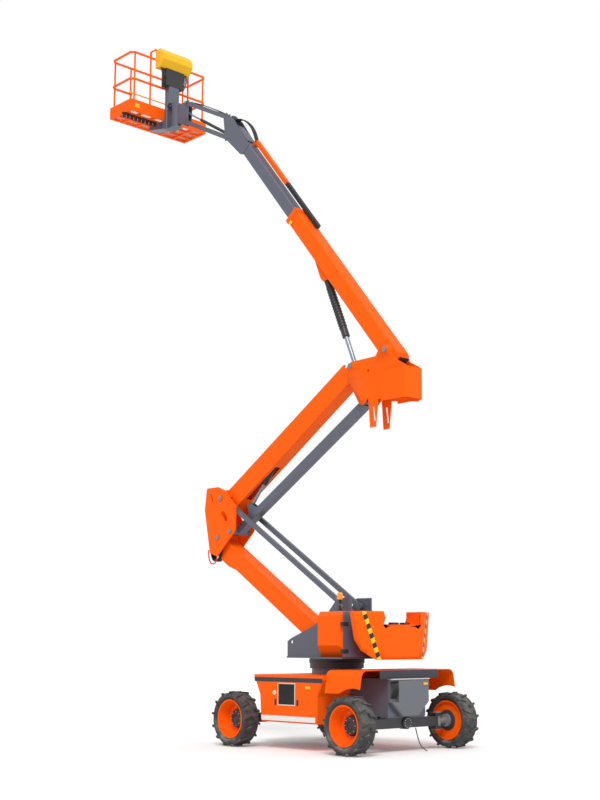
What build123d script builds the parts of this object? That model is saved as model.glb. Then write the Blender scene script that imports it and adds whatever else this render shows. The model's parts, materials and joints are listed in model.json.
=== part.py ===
"""Articulating boom lift: four-wheel chassis, slewing turntable, risers, telescopic boom, jib and platform.

Frame: +X the way the boom reaches, +Y the machine's left, +Z up, origin on the ground under the slew axis.
All lengths are millimetres and all angles degrees.
"""
from build123d import *
from math import atan2, cos, degrees, radians, sin, sqrt
import os

# ---------------------------------------------------------------- driving dimensions
# wheels and chassis
tyre_diameter = 838
tyre_width = 305
rim_diameter = 560
rim_width = 250
track = 2182
front_axle_x = 1130
rear_axle_x = -1396
steel = 8                       # usual plate
frame_half_width = 400
frame_bottom = 470
deck_z = 1060
frame_front_x = 1330
frame_rear_x = -1480
pod_bottom = 400
pod_reach = 1060                # outer face of the side covers from the centre plane
pod_skin = 5

# slew ring and turntable
slew_radius = 420
slew_bottom = 1190
slew_top = 1340
base_plate = 25
tower_gap = 205                 # inner face of each tower plate from the centre plane
tower_plate = 20

# risers: pins in the boom plane as (x, z)
lower_pin = (62, 1664)
lower_rod_pin = (-335, 2136)
lower_length = 3162
lower_angle = 32.54
upper_length = 3639
upper_angle = 30.7
riser_width = 250
lower_riser_depth = 290
riser_wall = 8
rod_offset = 165                # centre of each lower rod from the centre plane
rod_width = 46
rod_depth = 80

# boom, jib and platform
boom_angle = 50.7
boom_length = 3500              # pivot to mouth
boom_tail = 300                 # behind the pivot
boom_depth = 280
boom_width = 270
boom_wall = 8
fly_depth = 220
fly_width = 200
fly_wall = 6
fly_extension = 1950            # how far the fly boom stands out beyond its closed place
fly_reach = 4496                # boom pivot to the fly's head pin when closed
fly_pin_rise = 44               # head pin above the boom's line
jib_angle = 28.3
jib_length = 1400
platform_length = 692
platform_width = 1800
rail_height = 1152
rail_tube = 32
play = 6                        # side clearance where pieces move past each other
pin_play = 0.5                  # clearance of a pinned eye on its pin
seat_gap = 0.3                  # a piece seated against a curved one
riser_cylinder_pin = 21         # radii of the cylinders' upper pins
lift_cylinder_pin = 25
jib_cylinder_pin = 11


# ---------------------------------------------------------------- points worked out from those
def moved(point, length, angle):
    """The point that lies a length away at an angle above +X, in the boom plane."""
    return (point[0] + length * cos(radians(angle)), point[1] + length * sin(radians(angle)))


def shifted(point, dx, dz):
    """The point that lies dx along and dz above another."""
    return (point[0] + dx, point[1] + dz)


def side(y):
    """A plane parallel to the boom plane at distance y, whose extrusions run toward -Y."""
    return Plane.XZ.offset(-y)


def member(start, angle, y=0.0):
    """A plane parallel to the boom plane whose local X runs along a member."""
    run = (cos(radians(angle)), 0, sin(radians(angle)))
    return Plane(origin=(start[0], y, start[1]), x_dir=run, z_dir=(0, -1, 0))


lower_end = moved(lower_pin, lower_length, lower_angle)
rod_end = moved(lower_rod_pin, lower_length, lower_angle)
upper_pin = shifted(lower_end, -68, 669)
link_pin = shifted(lower_end, -324, 84)
upper_end = moved(upper_pin, upper_length, 180 - upper_angle)
link_end = moved(link_pin, upper_length, 180 - upper_angle)
boom_pin = shifted(upper_end, -762, 148)
lift_lug = (2051, -205)         # lift cylinder pin along and above the boom's line
lift_top_pin = moved(moved(boom_pin, lift_lug[0], boom_angle), lift_lug[1], boom_angle + 90)
lift_low_pin = shifted(upper_end, -25, -99)
riser_top_pin = shifted(upper_pin, -1340, 680)
riser_low_pin = shifted(link_pin, -314, 421)
jib_top_pin = moved(moved(boom_pin, fly_reach + fly_extension, boom_angle), fly_pin_rise, boom_angle + 90)
jib_low_pin = shifted(jib_top_pin, 21, -378)
jib_top_end = moved(jib_top_pin, jib_length, jib_angle)
jib_low_end = moved(jib_low_pin, jib_length, jib_angle)
jib_barrel_pin = shifted(jib_low_pin, 30, 90)
jib_rod_pin = shifted(jib_top_end, 10, -190)
rotator_x = jib_top_end[0] + 390
platform_rear_x = round(rotator_x + 249)
floor_z = round(jib_top_end[1] - 127.4)

os.makedirs("parts", exist_ok=True)


def keep(part, name):
    """Label a finished piece and write it."""
    part.label = name
    export_step(part, f"parts/{name}.step")


# ---------------------------------------------------------------- wheels
# one row per wheel: name, axle x, side of the machine
wheels = [
    ("front_left", front_axle_x, 1),
    ("front_right", front_axle_x, -1),
    ("rear_left", rear_axle_x, 1),
    ("rear_right", rear_axle_x, -1),
]
tyre_radius = tyre_diameter / 2
bead_radius = rim_diameter / 2
lug_height = 24
axle_face = 190                 # axle flange to tyre centre plane

lugs_per_row = 13
lug_width = 34
lug_inner = 8                   # from the tyre's centre plane to a lug's inner end
lug_slant = 48                  # how far a lug leans along the tread over its length
hub_radius = 100
rim_wall = 12

# carcass of flats, one under each lug; the bore is round
tread_flats = 2 * lugs_per_row
tread_radius = tyre_radius - lug_height
with BuildPart() as lugged_tyre:
    for start, start_radius, end, end_radius in (
        (-tyre_width / 2, tread_radius - 36, -tyre_width / 2 + 26, tread_radius),
        (-tyre_width / 2 + 26, tread_radius, tyre_width / 2 - 26, tread_radius),
        (tyre_width / 2 - 26, tread_radius, tyre_width / 2, tread_radius - 36),
    ):
        for y, radius in ((start, start_radius), (end, end_radius)):
            with BuildSketch(Plane.XZ.offset(-y)):
                RegularPolygon(radius, tread_flats, major_radius=False, rotation=90)
        loft(ruled=True)
    for hand in (1, -1):
        for y, radius in (
            (tyre_width / 2, bead_radius + 52),
            (rim_width / 2 - rim_wall - 0.5, bead_radius + 16),
        ):
            with BuildSketch(Plane.XZ.offset(-hand * y)):
                RegularPolygon(radius, tread_flats, major_radius=False, rotation=90)
        loft(ruled=True, mode=Mode.SUBTRACT)
    with BuildSketch(Plane.XZ):
        Circle(bead_radius + seat_gap)
    extrude(amount=tyre_width, both=True, mode=Mode.SUBTRACT)
    for row in (1, -1):
        for turn in range(lugs_per_row):
            angle = (turn + (0.5 if row > 0 else 0)) * 360 / lugs_per_row
            radial = (sin(radians(angle)), 0, -cos(radians(angle)))
            tread = Plane(origin=Vector(*radial) * (tread_radius - 14), x_dir=(0, 1, 0), z_dir=radial)
            with BuildSketch(tread):
                with BuildLine():
                    Polyline(
                        (row * lug_inner, -lug_slant / 2 - lug_width / 2),
                        (row * (tyre_width / 2 - 4), lug_slant / 2 - lug_width / 2),
                        (row * (tyre_width / 2 - 4), lug_slant / 2 + lug_width / 2),
                        (row * lug_inner, -lug_slant / 2 + lug_width / 2),
                        close=True,
                    )
                make_face()
            extrude(amount=lug_height + 11)

with BuildPart() as dished_rim:
    with BuildSketch(Plane.YZ):
        with BuildLine():
            Polyline(
                (-rim_width / 2, bead_radius + 14),
                (-rim_width / 2, bead_radius - rim_wall),
                (-axle_face + 100, bead_radius - rim_wall),
                (-axle_face + 88, hub_radius),
                (-axle_face + 88, 0),
                (-20, 0),
                (-20, hub_radius - 30),
                (-axle_face + 112, hub_radius),
                (-axle_face + 130, bead_radius - 60),
                (rim_width / 2, bead_radius - 8),
                (rim_width / 2, bead_radius + 14),
                (rim_width / 2 - rim_wall, bead_radius + 14),
                (rim_width / 2 - rim_wall, bead_radius),
                (-rim_width / 2 + rim_wall, bead_radius),
                (-rim_width / 2 + rim_wall, bead_radius + 14),
                close=True,
            )
        make_face()
    revolve(axis=Axis.Y)

for name, axle_x, hand in wheels:
    place = Location((axle_x, hand * track / 2, tyre_radius), (0, 0, 0 if hand > 0 else 180))
    with BuildPart() as tyre:
        with Locations(place):
            add(lugged_tyre.part)
    keep(tyre.part, f"tyre_{name}")
    with BuildPart() as rim:
        with Locations(place):
            add(dished_rim.part)
    keep(rim.part, f"rim_{name}")

# ---------------------------------------------------------------- chassis
axle_half = 70
spindle_radius = 75
hub_face = track / 2 - axle_face + 88 - 0.3
kingpin_y = 760
kingpin_radius = 20
knuckle_radius = 52
knuckle_half_height = 75
fork_thickness = 35
fork_gap = knuckle_half_height + 5

with BuildPart() as frame:
    with BuildSketch(Plane.XY.offset(frame_bottom + 45)):
        with Locations(((frame_front_x + frame_rear_x) / 2, 0)):
            Rectangle(frame_front_x - frame_rear_x, 2 * frame_half_width)
    extrude(amount=deck_z - frame_bottom - 45)
    with BuildSketch(Plane.XY.offset(frame_bottom + 45)):
        with Locations(((frame_front_x + frame_rear_x) / 2, 0)):
            Rectangle(frame_front_x - frame_rear_x - 2 * steel, 2 * frame_half_width - 2 * steel)
    extrude(amount=deck_z - frame_bottom - 45 - 2 * steel, mode=Mode.SUBTRACT)
    with BuildSketch(Plane.XY.offset(deck_z)):
        Circle(slew_radius - 30)
        Circle(slew_radius - 60, mode=Mode.SUBTRACT)
    extrude(amount=slew_bottom - deck_z)
    for x in (frame_rear_x + 500, 0, frame_front_x - 500):
        with BuildSketch(Plane.YZ.offset(x)):
            with Locations((0, (frame_bottom + 45 + deck_z) / 2)):
                Rectangle(2 * frame_half_width - steel, deck_z - frame_bottom - 45 - steel)
        extrude(amount=steel)
    for x in (front_axle_x, rear_axle_x):
        with BuildSketch(Plane.XY.offset(frame_bottom + 25)):
            with Locations((x, 0)):
                Rectangle(2 * axle_half, 2 * frame_half_width)
        extrude(amount=30)
keep(frame.part, "chassis_frame")

with BuildPart() as front_axle:
    with BuildSketch(Plane.XY.offset(frame_bottom + 25)):
        with Locations((front_axle_x, 0)):
            Rectangle(2 * axle_half, 2 * frame_half_width - 100)
    extrude(amount=-(frame_bottom + 25 - tyre_radius + axle_half))
    with BuildSketch(Plane.XZ):
        with Locations((front_axle_x, tyre_radius)):
            Rectangle(2 * axle_half, 2 * axle_half)
    extrude(amount=hub_face - 60, both=True)
    for hand in (1, -1):
        with BuildSketch(Plane.XZ.offset(-hand * (hub_face - 120))):
            with Locations((front_axle_x, tyre_radius)):
                Circle(spindle_radius + 20)
        extrude(amount=-hand * 120)
keep(front_axle.part, "front_axle")

with BuildPart() as rear_axle:
    with BuildSketch(Plane.XY.offset(frame_bottom + 25)):
        with Locations((rear_axle_x, 0)):
            Rectangle(2 * axle_half, 2 * frame_half_width - 100)
    extrude(amount=-(frame_bottom + 25 - tyre_radius + axle_half))
    with BuildSketch(Plane.XZ):
        with Locations((rear_axle_x, tyre_radius)):
            Rectangle(2 * axle_half, 2 * axle_half)
    extrude(amount=kingpin_y - knuckle_radius - 15, both=True)
    for hand in (1, -1):
        for z in (fork_gap, -fork_gap - fork_thickness):
            with BuildSketch(Plane.XY.offset(tyre_radius + z)):
                with Locations((rear_axle_x, hand * (kingpin_y - 60))):
                    Rectangle(2 * axle_half, 120)
                with Locations((rear_axle_x, hand * kingpin_y)):
                    Circle(axle_half)
                with Locations((rear_axle_x, hand * kingpin_y)):
                    Circle(kingpin_radius + pin_play, mode=Mode.SUBTRACT)
            extrude(amount=fork_thickness)
        with BuildSketch(Plane.XZ.offset(-hand * (kingpin_y - knuckle_radius - 15))):
            with Locations((rear_axle_x, tyre_radius)):
                Rectangle(2 * axle_half, 2 * (knuckle_half_height + 5 + fork_thickness))
        extrude(amount=hand * 40)
keep(rear_axle.part, "rear_axle")

for name, hand in (("left", 1), ("right", -1)):
    with BuildPart() as knuckle:
        with BuildSketch(Plane.XY.offset(tyre_radius - knuckle_half_height)):
            with Locations((rear_axle_x, hand * kingpin_y)):
                Circle(knuckle_radius)
        extrude(amount=2 * knuckle_half_height)
        with BuildSketch(Plane.XY.offset(tyre_radius - knuckle_half_height - 5 - fork_thickness)):
            with Locations((rear_axle_x, hand * kingpin_y)):
                Circle(kingpin_radius)
        extrude(amount=2 * (knuckle_half_height + 5 + fork_thickness))
        with BuildSketch(Plane.XZ.offset(-hand * kingpin_y)):
            with Locations((rear_axle_x, tyre_radius)):
                Circle(knuckle_radius - 4)
        extrude(amount=-hand * (hub_face - kingpin_y))
        with BuildSketch(Plane.XZ.offset(-hand * (hub_face - 60))):
            with Locations((rear_axle_x, tyre_radius)):
                Circle(spindle_radius + 20)
        extrude(amount=-hand * 60)
    keep(knuckle.part, f"steer_knuckle_{name}")

# side covers: outline as (x, z), flared over the wheels at the top
cover_outline = [(-672, pod_bottom), (580, pod_bottom), (609, 797), (730, 1035), (-798, 1035), (-672, 797)]
vent_x = -11
vent_z = 816
vent_width = 362
vent_height = 300
for name, hand in (("left", 1), ("right", -1)):
    outward = Plane.XZ.offset(-hand * frame_half_width)
    with BuildPart() as cover:
        with BuildSketch(outward):
            with BuildLine():
                Polyline(*cover_outline, close=True)
            make_face()
        extrude(amount=-hand * (pod_reach - frame_half_width))
        chamfer(cover.faces().sort_by(Axis.Y)[-1 if hand > 0 else 0].edges(), 22)
        with BuildSketch(outward):
            with BuildLine():
                Polyline(*cover_outline, close=True)
            make_face()
            offset(amount=-pod_skin, mode=Mode.REPLACE)
        extrude(amount=-hand * (pod_reach - frame_half_width - 22 - pod_skin), mode=Mode.SUBTRACT)
        # the vent stands in a recess behind a frame
        with BuildSketch(Plane.XZ.offset(-hand * pod_reach)):
            with Locations((vent_x, vent_z)):
                Rectangle(vent_width, vent_height)
        extrude(amount=hand * (22 + pod_skin - 8), mode=Mode.SUBTRACT)
        with BuildSketch(Plane.XZ.offset(-hand * (pod_reach - 22 - pod_skin + 8))):
            with Locations((vent_x, vent_z)):
                Rectangle(vent_width, vent_height)
                for row in range(7):
                    with Locations((0, (row - 3) * 38)):
                        Rectangle(vent_width - 60, 20, mode=Mode.SUBTRACT)
        extrude(amount=hand * 8)
    keep(cover.part, f"side_cover_{name}")
    with BuildPart() as battery:
        with BuildSketch(Plane.XY.offset(pod_bottom + pod_skin)):
            with Locations((-50, hand * (frame_half_width + 250))):
                Rectangle(1080, 420)
        extrude(amount=430)
    keep(battery.part, f"battery_pack_{name}")

# sizes of the shell over the steered wheels, whose ends hang down as fenders
fender_front_x = -805
fender_rear_x = -1530
fender_top = 1185
fender_half = 1035
fender_drop = 330
fender_corner = 110
with BuildPart() as deck:
    with BuildSketch(Plane.XY.offset(1035)):
        with Locations(((730 + fender_front_x) / 2, 0)):
            Rectangle(730 - fender_front_x, 2 * pod_reach)
        Circle(slew_radius - 25, mode=Mode.SUBTRACT)
    extrude(amount=65)
    with BuildSketch(Plane.XY.offset(1035)):
        with Locations(((730 + fender_front_x) / 2, 0)):
            Rectangle(730 - fender_front_x - 2 * pod_skin, 2 * pod_reach - 2 * pod_skin)
        Circle(slew_radius - 25 + pod_skin, mode=Mode.SUBTRACT)
    extrude(amount=65 - pod_skin, mode=Mode.SUBTRACT)
    with BuildSketch(Plane.XY.offset(1035)):
        with Locations((0, 0)):
            Rectangle(2 * (frame_front_x - frame_rear_x), 2 * frame_half_width + 1)
    extrude(amount=deck_z - 1035 + 0.3, mode=Mode.SUBTRACT)
keep(deck.part, "deck")

with BuildPart() as fender_shell:
    for wall in (0, steel):
        low = fender_top - fender_drop - (1 if wall else 0)
        half, top = fender_half - wall, fender_top - wall
        with BuildSketch(Plane.YZ.offset(fender_rear_x - (1 if wall else 0))):
            with BuildLine():
                FilletPolyline(
                    (-half, low), (60 - half, top), (half - 60, top), (half, low),
                    radius=fender_corner - wall,
                )
                Line((half, low), (-half, low))
            make_face()
        extrude(amount=fender_front_x - fender_rear_x - wall, mode=Mode.SUBTRACT if wall else Mode.ADD)
    # clear of the tyres at full lock, open under the slewing turntable
    with BuildSketch(Plane.XZ):
        with Locations((rear_axle_x, tyre_radius)):
            Circle(tyre_radius + 95)
    extrude(amount=2 * fender_half, both=True, mode=Mode.SUBTRACT)
    with BuildSketch(Plane.XY.offset(fender_top - fender_drop)):
        with Locations((fender_front_x, 0)):
            Rectangle(3 * steel, 2 * frame_half_width + 1)
        with Locations((fender_front_x, 0)):
            Rectangle(3 * steel, 2 * fender_half, mode=Mode.ADD)
    extrude(amount=deck_z + 40.3 - fender_top + fender_drop, mode=Mode.SUBTRACT)
keep(fender_shell.part, "fender_shell")

with BuildPart() as end_cover:
    with BuildSketch(Plane.YZ.offset(frame_rear_x)):
        with BuildLine():
            Polyline(
                (-frame_half_width, 1050), (frame_half_width, 1050), (frame_half_width, 720), (170, 515),
                (-170, 515), (-frame_half_width, 720), close=True,
            )
        make_face()
    extrude(amount=-90)
    chamfer(end_cover.faces().sort_by(Axis.X)[0].edges(), 18)
    with BuildSketch(Plane.YZ.offset(frame_rear_x)):
        with Locations((330, 880)):
            Rectangle(141, 300)
    extrude(amount=-95, mode=Mode.SUBTRACT)
    with BuildSketch(Plane.YZ.offset(frame_rear_x - 40)):
        with Locations((330, 880)):
            Rectangle(141, 300)
    extrude(amount=40)
keep(end_cover.part, "end_cover")

with BuildPart() as slew_ring:
    with BuildSketch(Plane.XY.offset(slew_bottom)):
        Circle(slew_radius)
        Circle(slew_radius - 90, mode=Mode.SUBTRACT)
    extrude(amount=(slew_top - slew_bottom) / 2 - 0.5)
keep(slew_ring.part, "slew_ring")

# ---------------------------------------------------------------- turntable
counter_rear = -1410
counter_front = -1110
counter_half = 810
counter_top = 2035
saddle_z = 1845
tower_outline = [
    (905, slew_top + base_plate), (905, 1600), (830, 1645), (314, 1830), (-50, 2057), (-208, 2222),
    (-230, 2262), (-548, 2262), (-548, 2085), (-640, 1900), (-800, slew_top + base_plate),
]
riser_pin_radius = 32
rod_pin_radius = 22

with BuildPart() as turret:
    with BuildSketch(Plane.XY.offset(slew_top - (slew_top - slew_bottom) / 2)):
        Circle(slew_radius)
        Circle(slew_radius - 90, mode=Mode.SUBTRACT)
    extrude(amount=(slew_top - slew_bottom) / 2)
    with BuildSketch(Plane.XY.offset(slew_top)):
        with Locations(((905 + counter_front) / 2, 0)):
            Rectangle(905 - counter_front, 2 * (tower_gap + tower_plate + 20))
        with Locations((-610, 0)):
            Rectangle(640, 1600)
    extrude(amount=base_plate)
    with BuildSketch(Plane.YZ.offset(-640)):
        with Locations((0, 1565)):
            Rectangle(2 * tower_gap, 400)
    extrude(amount=15)
keep(turret.part, "turntable_frame")

lug_hole = (806, 1590)
lug_hole_radius = 28
for name, hand, y in (("left", 1, tower_gap + tower_plate), ("right", -1, -tower_gap)):
    with BuildPart() as tower:
        with BuildSketch(side(y)):
            with BuildLine():
                Polyline(*tower_outline, close=True)
            make_face()
            with Locations(lug_hole):
                Circle(lug_hole_radius, mode=Mode.SUBTRACT)
        extrude(amount=tower_plate)
        with BuildSketch(Plane.XZ.offset(-hand * tower_gap)):
            with Locations(lower_rod_pin):
                Circle(rod_pin_radius)
        extrude(amount=hand * (tower_gap - rod_offset + rod_width / 2))
        # the left plate carries the riser's pin
        if hand > 0:
            with BuildSketch(Plane.XZ.offset(-tower_gap)):
                with Locations(lower_pin):
                    Circle(riser_pin_radius)
            extrude(amount=2 * tower_gap)
    keep(tower.part, f"tower_plate_{name}")

notch_half = 250
# plan outlines of the cast weight, bottom and top: half widths at its front, shoulder and rear
weight_low = 1330
weight_sections = [
    (weight_low, counter_half - 150, (counter_rear + 165, counter_half - 120),
     (counter_rear + 15, counter_half - 390)),
    (counter_top, counter_half, (counter_rear + 200, counter_half), (counter_rear, counter_half - 330)),
]
with BuildPart() as counterweight:
    for z, front_half, shoulder, tail in weight_sections:
        with BuildSketch(Plane.XY.offset(z)):
            with BuildLine():
                Polyline(
                    (counter_front, -front_half), (counter_front, front_half), shoulder, tail,
                    (tail[0], -tail[1]), (shoulder[0], -shoulder[1]), close=True,
                )
            make_face()
    loft(ruled=True)
    with BuildSketch(Plane.YZ.offset(counter_rear - 20)):
        with Locations((0, (saddle_z + counter_top) / 2)):
            Rectangle(2 * notch_half, counter_top - saddle_z)
    extrude(amount=counter_front - counter_rear + 40, mode=Mode.SUBTRACT)
    # the flanks' lower front corners are cut away
    for hand in (1, -1):
        with BuildSketch(Plane.XZ.offset(-hand * (notch_half + 20))):
            with BuildLine():
                Polyline(
                    (counter_front + 1, weight_low + 290), (counter_front + 1, weight_low - 1),
                    (counter_front - 240, weight_low - 1), close=True,
                )
            make_face()
        extrude(amount=-hand * 700, mode=Mode.SUBTRACT)
keep(counterweight.part, "counterweight")

with BuildPart() as pads:
    with BuildSketch(Plane.XY.offset(saddle_z)):
        with Locations((-1340, 120), (-1340, -120)):
            Rectangle(90, 130)
    extrude(amount=28)
keep(pads.part, "saddle_pads")

hood_front = -300
hood_rear = -920
hood_inner = 238
hood_outer = 800
hood_top = 2040
hood_skin = 5
hinge_heights = (1450, 1850)


def hood_plan(wall):
    """Plan of a hood drawn in by a wall, as (x, y)."""
    front, rear, inner, outer = hood_front - wall, hood_rear + wall, hood_inner + wall, hood_outer - wall
    return [
        (front, inner), (front, outer - 190), (front - 120, outer),
        (rear + 60, outer), (rear, outer - 60), (rear, inner),
    ]


def hood_section(wall):
    """Cross section of a hood drawn in by a wall, as (y, z)."""
    inner, outer, top = hood_inner + wall, hood_outer - wall, hood_top - wall
    low = slew_top + base_plate - (1 if wall else 0)
    return [
        (inner, low), (inner, top), (outer - 110, top),
        (outer, top - 70), (outer, slew_top + 200), (outer - 170, low),
    ]


for name, hand in (("left", 1), ("right", -1)):
    blocks = []
    for wall in (0, hood_skin):
        with BuildPart() as hood_block:
            with BuildSketch(Plane.XY.offset(slew_top)):
                with BuildLine():
                    Polyline(*[(x, hand * y) for x, y in hood_plan(wall)], close=True)
                make_face()
            extrude(amount=hood_top - slew_top)
            with BuildSketch(Plane.YZ.offset(hood_rear - 10)):
                with BuildLine():
                    Polyline(*[(hand * y, z) for y, z in hood_section(wall)], close=True)
                make_face()
            extrude(amount=hood_front - hood_rear + 20, mode=Mode.INTERSECT)
        blocks.append(hood_block.part)
    with BuildPart() as hood:
        add(blocks[0])
        add(blocks[1], mode=Mode.SUBTRACT)
        for z in hinge_heights:
            with BuildSketch(Plane.XY.offset(z)):
                with Locations((hood_rear - 12, hand * (hood_outer - 90))):
                    Rectangle(24, 60)
            extrude(amount=70)
    keep(hood.part, f"hood_{name}")

beacon_place = (-380, 300)
beacon_z = 2230                 # foot of the lens
with BuildPart() as beacon_post:
    with BuildSketch(Plane.XY.offset(hood_top)):
        with Locations(beacon_place):
            Circle(22)
    extrude(amount=beacon_z - hood_top)
keep(beacon_post.part, "beacon_post")
with BuildPart() as beacon:
    for z, radius in ((beacon_z, 50), (beacon_z + 80, 44), (beacon_z + 110, 26)):
        with BuildSketch(Plane.XY.offset(z)):
            with Locations(beacon_place):
                Circle(radius)
    loft(ruled=True)
keep(beacon.part, "beacon_lens")

# ---------------------------------------------------------------- risers
eye_radius = 58
riser_rise = 20                 # top of the lower riser above the line of its pins
riser_head = 50                 # how much deeper the lower riser is at the mid-link
plate_gap = 195                 # inner face of the mid-link plates from the centre plane
plate_thickness = 20

with BuildPart() as lower_riser:
    for wall in (0, riser_wall):
        top = riser_rise - wall
        bottom = riser_rise - lower_riser_depth + wall
        head = bottom - riser_head
        open_end = 100 if wall else 0
        with BuildSketch(member(lower_pin, lower_angle)):
            with BuildLine():
                Polyline(
                    (-30 - open_end, top), (lower_length + 20 + open_end, top),
                    (lower_length + 20 + open_end, -200), (lower_length - 70 + open_end, head),
                    (lower_length - 430, head), (lower_length - 640, bottom), (60, bottom),
                    (-10, bottom + 80 - wall), (-30 - open_end, bottom + 80 - wall), close=True,
                )
            make_face()
        extrude(amount=riser_width / 2 - wall, both=True, mode=Mode.SUBTRACT if wall else Mode.ADD)
    for x in (0, lower_length):
        with BuildSketch(member(lower_pin, lower_angle)):
            with Locations((x, 0)):
                Circle(eye_radius)
        extrude(amount=tower_gap - play if x == 0 else plate_gap - play, both=True)
        with BuildSketch(member(lower_pin, lower_angle)):
            with Locations((x, 0)):
                Circle(riser_pin_radius + pin_play)
        extrude(amount=tower_gap, both=True, mode=Mode.SUBTRACT)
keep(lower_riser.part, "lower_riser")

for name, hand in (("left", 1), ("right", -1)):
    with BuildPart() as rod:
        with BuildSketch(member(lower_rod_pin, lower_angle, hand * rod_offset)):
            with Locations((lower_length / 2, 0)):
                Rectangle(lower_length, rod_depth)
            with Locations((0, 0), (lower_length, 0)):
                Circle(55)
            with Locations((0, 0), (lower_length, 0)):
                Circle(rod_pin_radius + pin_play, mode=Mode.SUBTRACT)
        extrude(amount=rod_width / 2, both=True)
    keep(rod.part, f"lower_link_{name}")

# corners of a mid-link plate from the lower riser's end pin
plate_corners = [
    (327, 870), (17, 870), (-173, 795), (-473, 505), (-463, 95), (17, -325), (217, -265), (377, 495),
]
with BuildPart() as mid_link:
    for y in (plate_gap + plate_thickness, -plate_gap):
        with BuildSketch(side(y)):
            with BuildLine():
                Polyline(*[shifted(lower_end, dx, dz) for dx, dz in plate_corners], close=True)
            make_face()
            fillet(vertices(), radius=40)
            with Locations(shifted(lower_end, 187, 685)):
                SlotOverall(150, 46, rotation=70, mode=Mode.SUBTRACT)
            with Locations(shifted(lower_end, -163, 355)):
                SlotOverall(210, 90, rotation=52, mode=Mode.SUBTRACT)
        extrude(amount=plate_thickness)
    # front web between the plates
    with BuildSketch(side(0)):
        with BuildLine():
            Polyline(
                shifted(lower_end, 325, 840), shifted(lower_end, 337, 840),
                shifted(lower_end, 377, 500), shifted(lower_end, 240, -220),
                shifted(lower_end, 228, -218), shifted(lower_end, 364, 500), close=True,
            )
        make_face()
    extrude(amount=plate_gap, both=True)
    for pin in (lower_end, upper_pin, link_pin):
        with BuildSketch(Plane.XZ):
            with Locations(pin):
                Circle(riser_pin_radius)
        extrude(amount=plate_gap + plate_thickness + 10, both=True)
    for hand in (1, -1):
        with BuildSketch(Plane.XZ.offset(-hand * (plate_gap + plate_thickness + 10))):
            with Locations(rod_end):
                Circle(rod_pin_radius)
        extrude(amount=hand * (plate_gap + plate_thickness + 10 - rod_offset + rod_width / 2))
keep(mid_link.part, "mid_link")

# from the middle pin back to the knuckle: local X runs from the mid-link to the knuckle
upper_run = Plane(
    origin=(upper_pin[0], 0, upper_pin[1]),
    x_dir=(-cos(radians(upper_angle)), 0, sin(radians(upper_angle))),
    z_dir=(0, 1, 0),
)
link_run = Plane(
    origin=(link_pin[0], 0, link_pin[1]),
    x_dir=(-cos(radians(upper_angle)), 0, sin(radians(upper_angle))),
    z_dir=(0, 1, 0),
)
riser_box_start = 60
riser_box_end = upper_length - 130
with BuildPart() as upper_riser:
    for wall in (0, riser_wall):
        open_end = 200 if wall else 0
        with BuildSketch(upper_run):
            with BuildLine():
                Polyline(
                    (riser_box_start - open_end, 65 - wall), (riser_box_end + open_end, 134 - wall),
                    (riser_box_end + open_end, wall - 188), (riser_box_start - open_end, wall - 304),
                    close=True,
                )
            make_face()
        extrude(amount=riser_width / 2 - wall, both=True, mode=Mode.SUBTRACT if wall else Mode.ADD)
    with BuildSketch(upper_run):
        with Locations((845, -290)):
            Rectangle(900, 110)
    extrude(amount=62, both=True, mode=Mode.SUBTRACT)
    with BuildSketch(upper_run):
        with Locations((upper_length - 255, 120)):
            Rectangle(610, 240)
        with Locations((upper_length - 90, -150)):
            Rectangle(300, 120)
    extrude(amount=75, both=True, mode=Mode.SUBTRACT)
    with BuildSketch(side(0)):
        with Locations(riser_top_pin):
            Circle(riser_cylinder_pin)
    extrude(amount=riser_width / 2 - 2, both=True)
    for y in (riser_width / 2, -riser_width / 2 + riser_wall):
        with BuildSketch(upper_run.offset(y)):
            with Locations((upper_length - 100, -20)):
                Rectangle(240, 150)
            with Locations((upper_length, 0)):
                Circle(eye_radius)
            with Locations((upper_length, 0)):
                Circle(riser_pin_radius + pin_play, mode=Mode.SUBTRACT)
        extrude(amount=-riser_wall)
    with BuildSketch(upper_run):
        Circle(eye_radius)
        with Locations((90, -40)):
            Rectangle(200, 110)
    extrude(amount=plate_gap - play, both=True)
    with BuildSketch(upper_run):
        Circle(riser_pin_radius + pin_play)
    extrude(amount=plate_gap, both=True, mode=Mode.SUBTRACT)
keep(upper_riser.part, "upper_riser")

with BuildPart() as upper_link:
    with BuildSketch(link_run):
        with Locations((upper_length / 2, 0)):
            Rectangle(upper_length - 2 * eye_radius + 20, 120)
    extrude(amount=75, both=True)
    with BuildSketch(link_run):
        with Locations((upper_length / 2, 0)):
            Rectangle(upper_length + 200, 104)
    extrude(amount=67, both=True, mode=Mode.SUBTRACT)
    for x, reach in ((0, plate_gap - play), (upper_length, 130)):
        with BuildSketch(link_run):
            with Locations((x, 0)):
                Circle(eye_radius)
        extrude(amount=reach, both=True)
        with BuildSketch(link_run):
            with Locations((x, 0)):
                Circle(riser_pin_radius + pin_play)
        extrude(amount=plate_gap, both=True, mode=Mode.SUBTRACT)
    for y in (60, -45):
        with BuildSketch(link_run.offset(y)):
            with BuildLine():
                Polyline((390, 55), (640, 55), (520, 240), (450, 240), close=True)
            make_face()
        extrude(amount=-15)
keep(upper_link.part, "upper_link")


def between(a, b):
    """Length and angle from one point of the boom plane to another."""
    return sqrt((b[0] - a[0]) ** 2 + (b[1] - a[1]) ** 2), degrees(atan2(b[1] - a[1], b[0] - a[0]))


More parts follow.
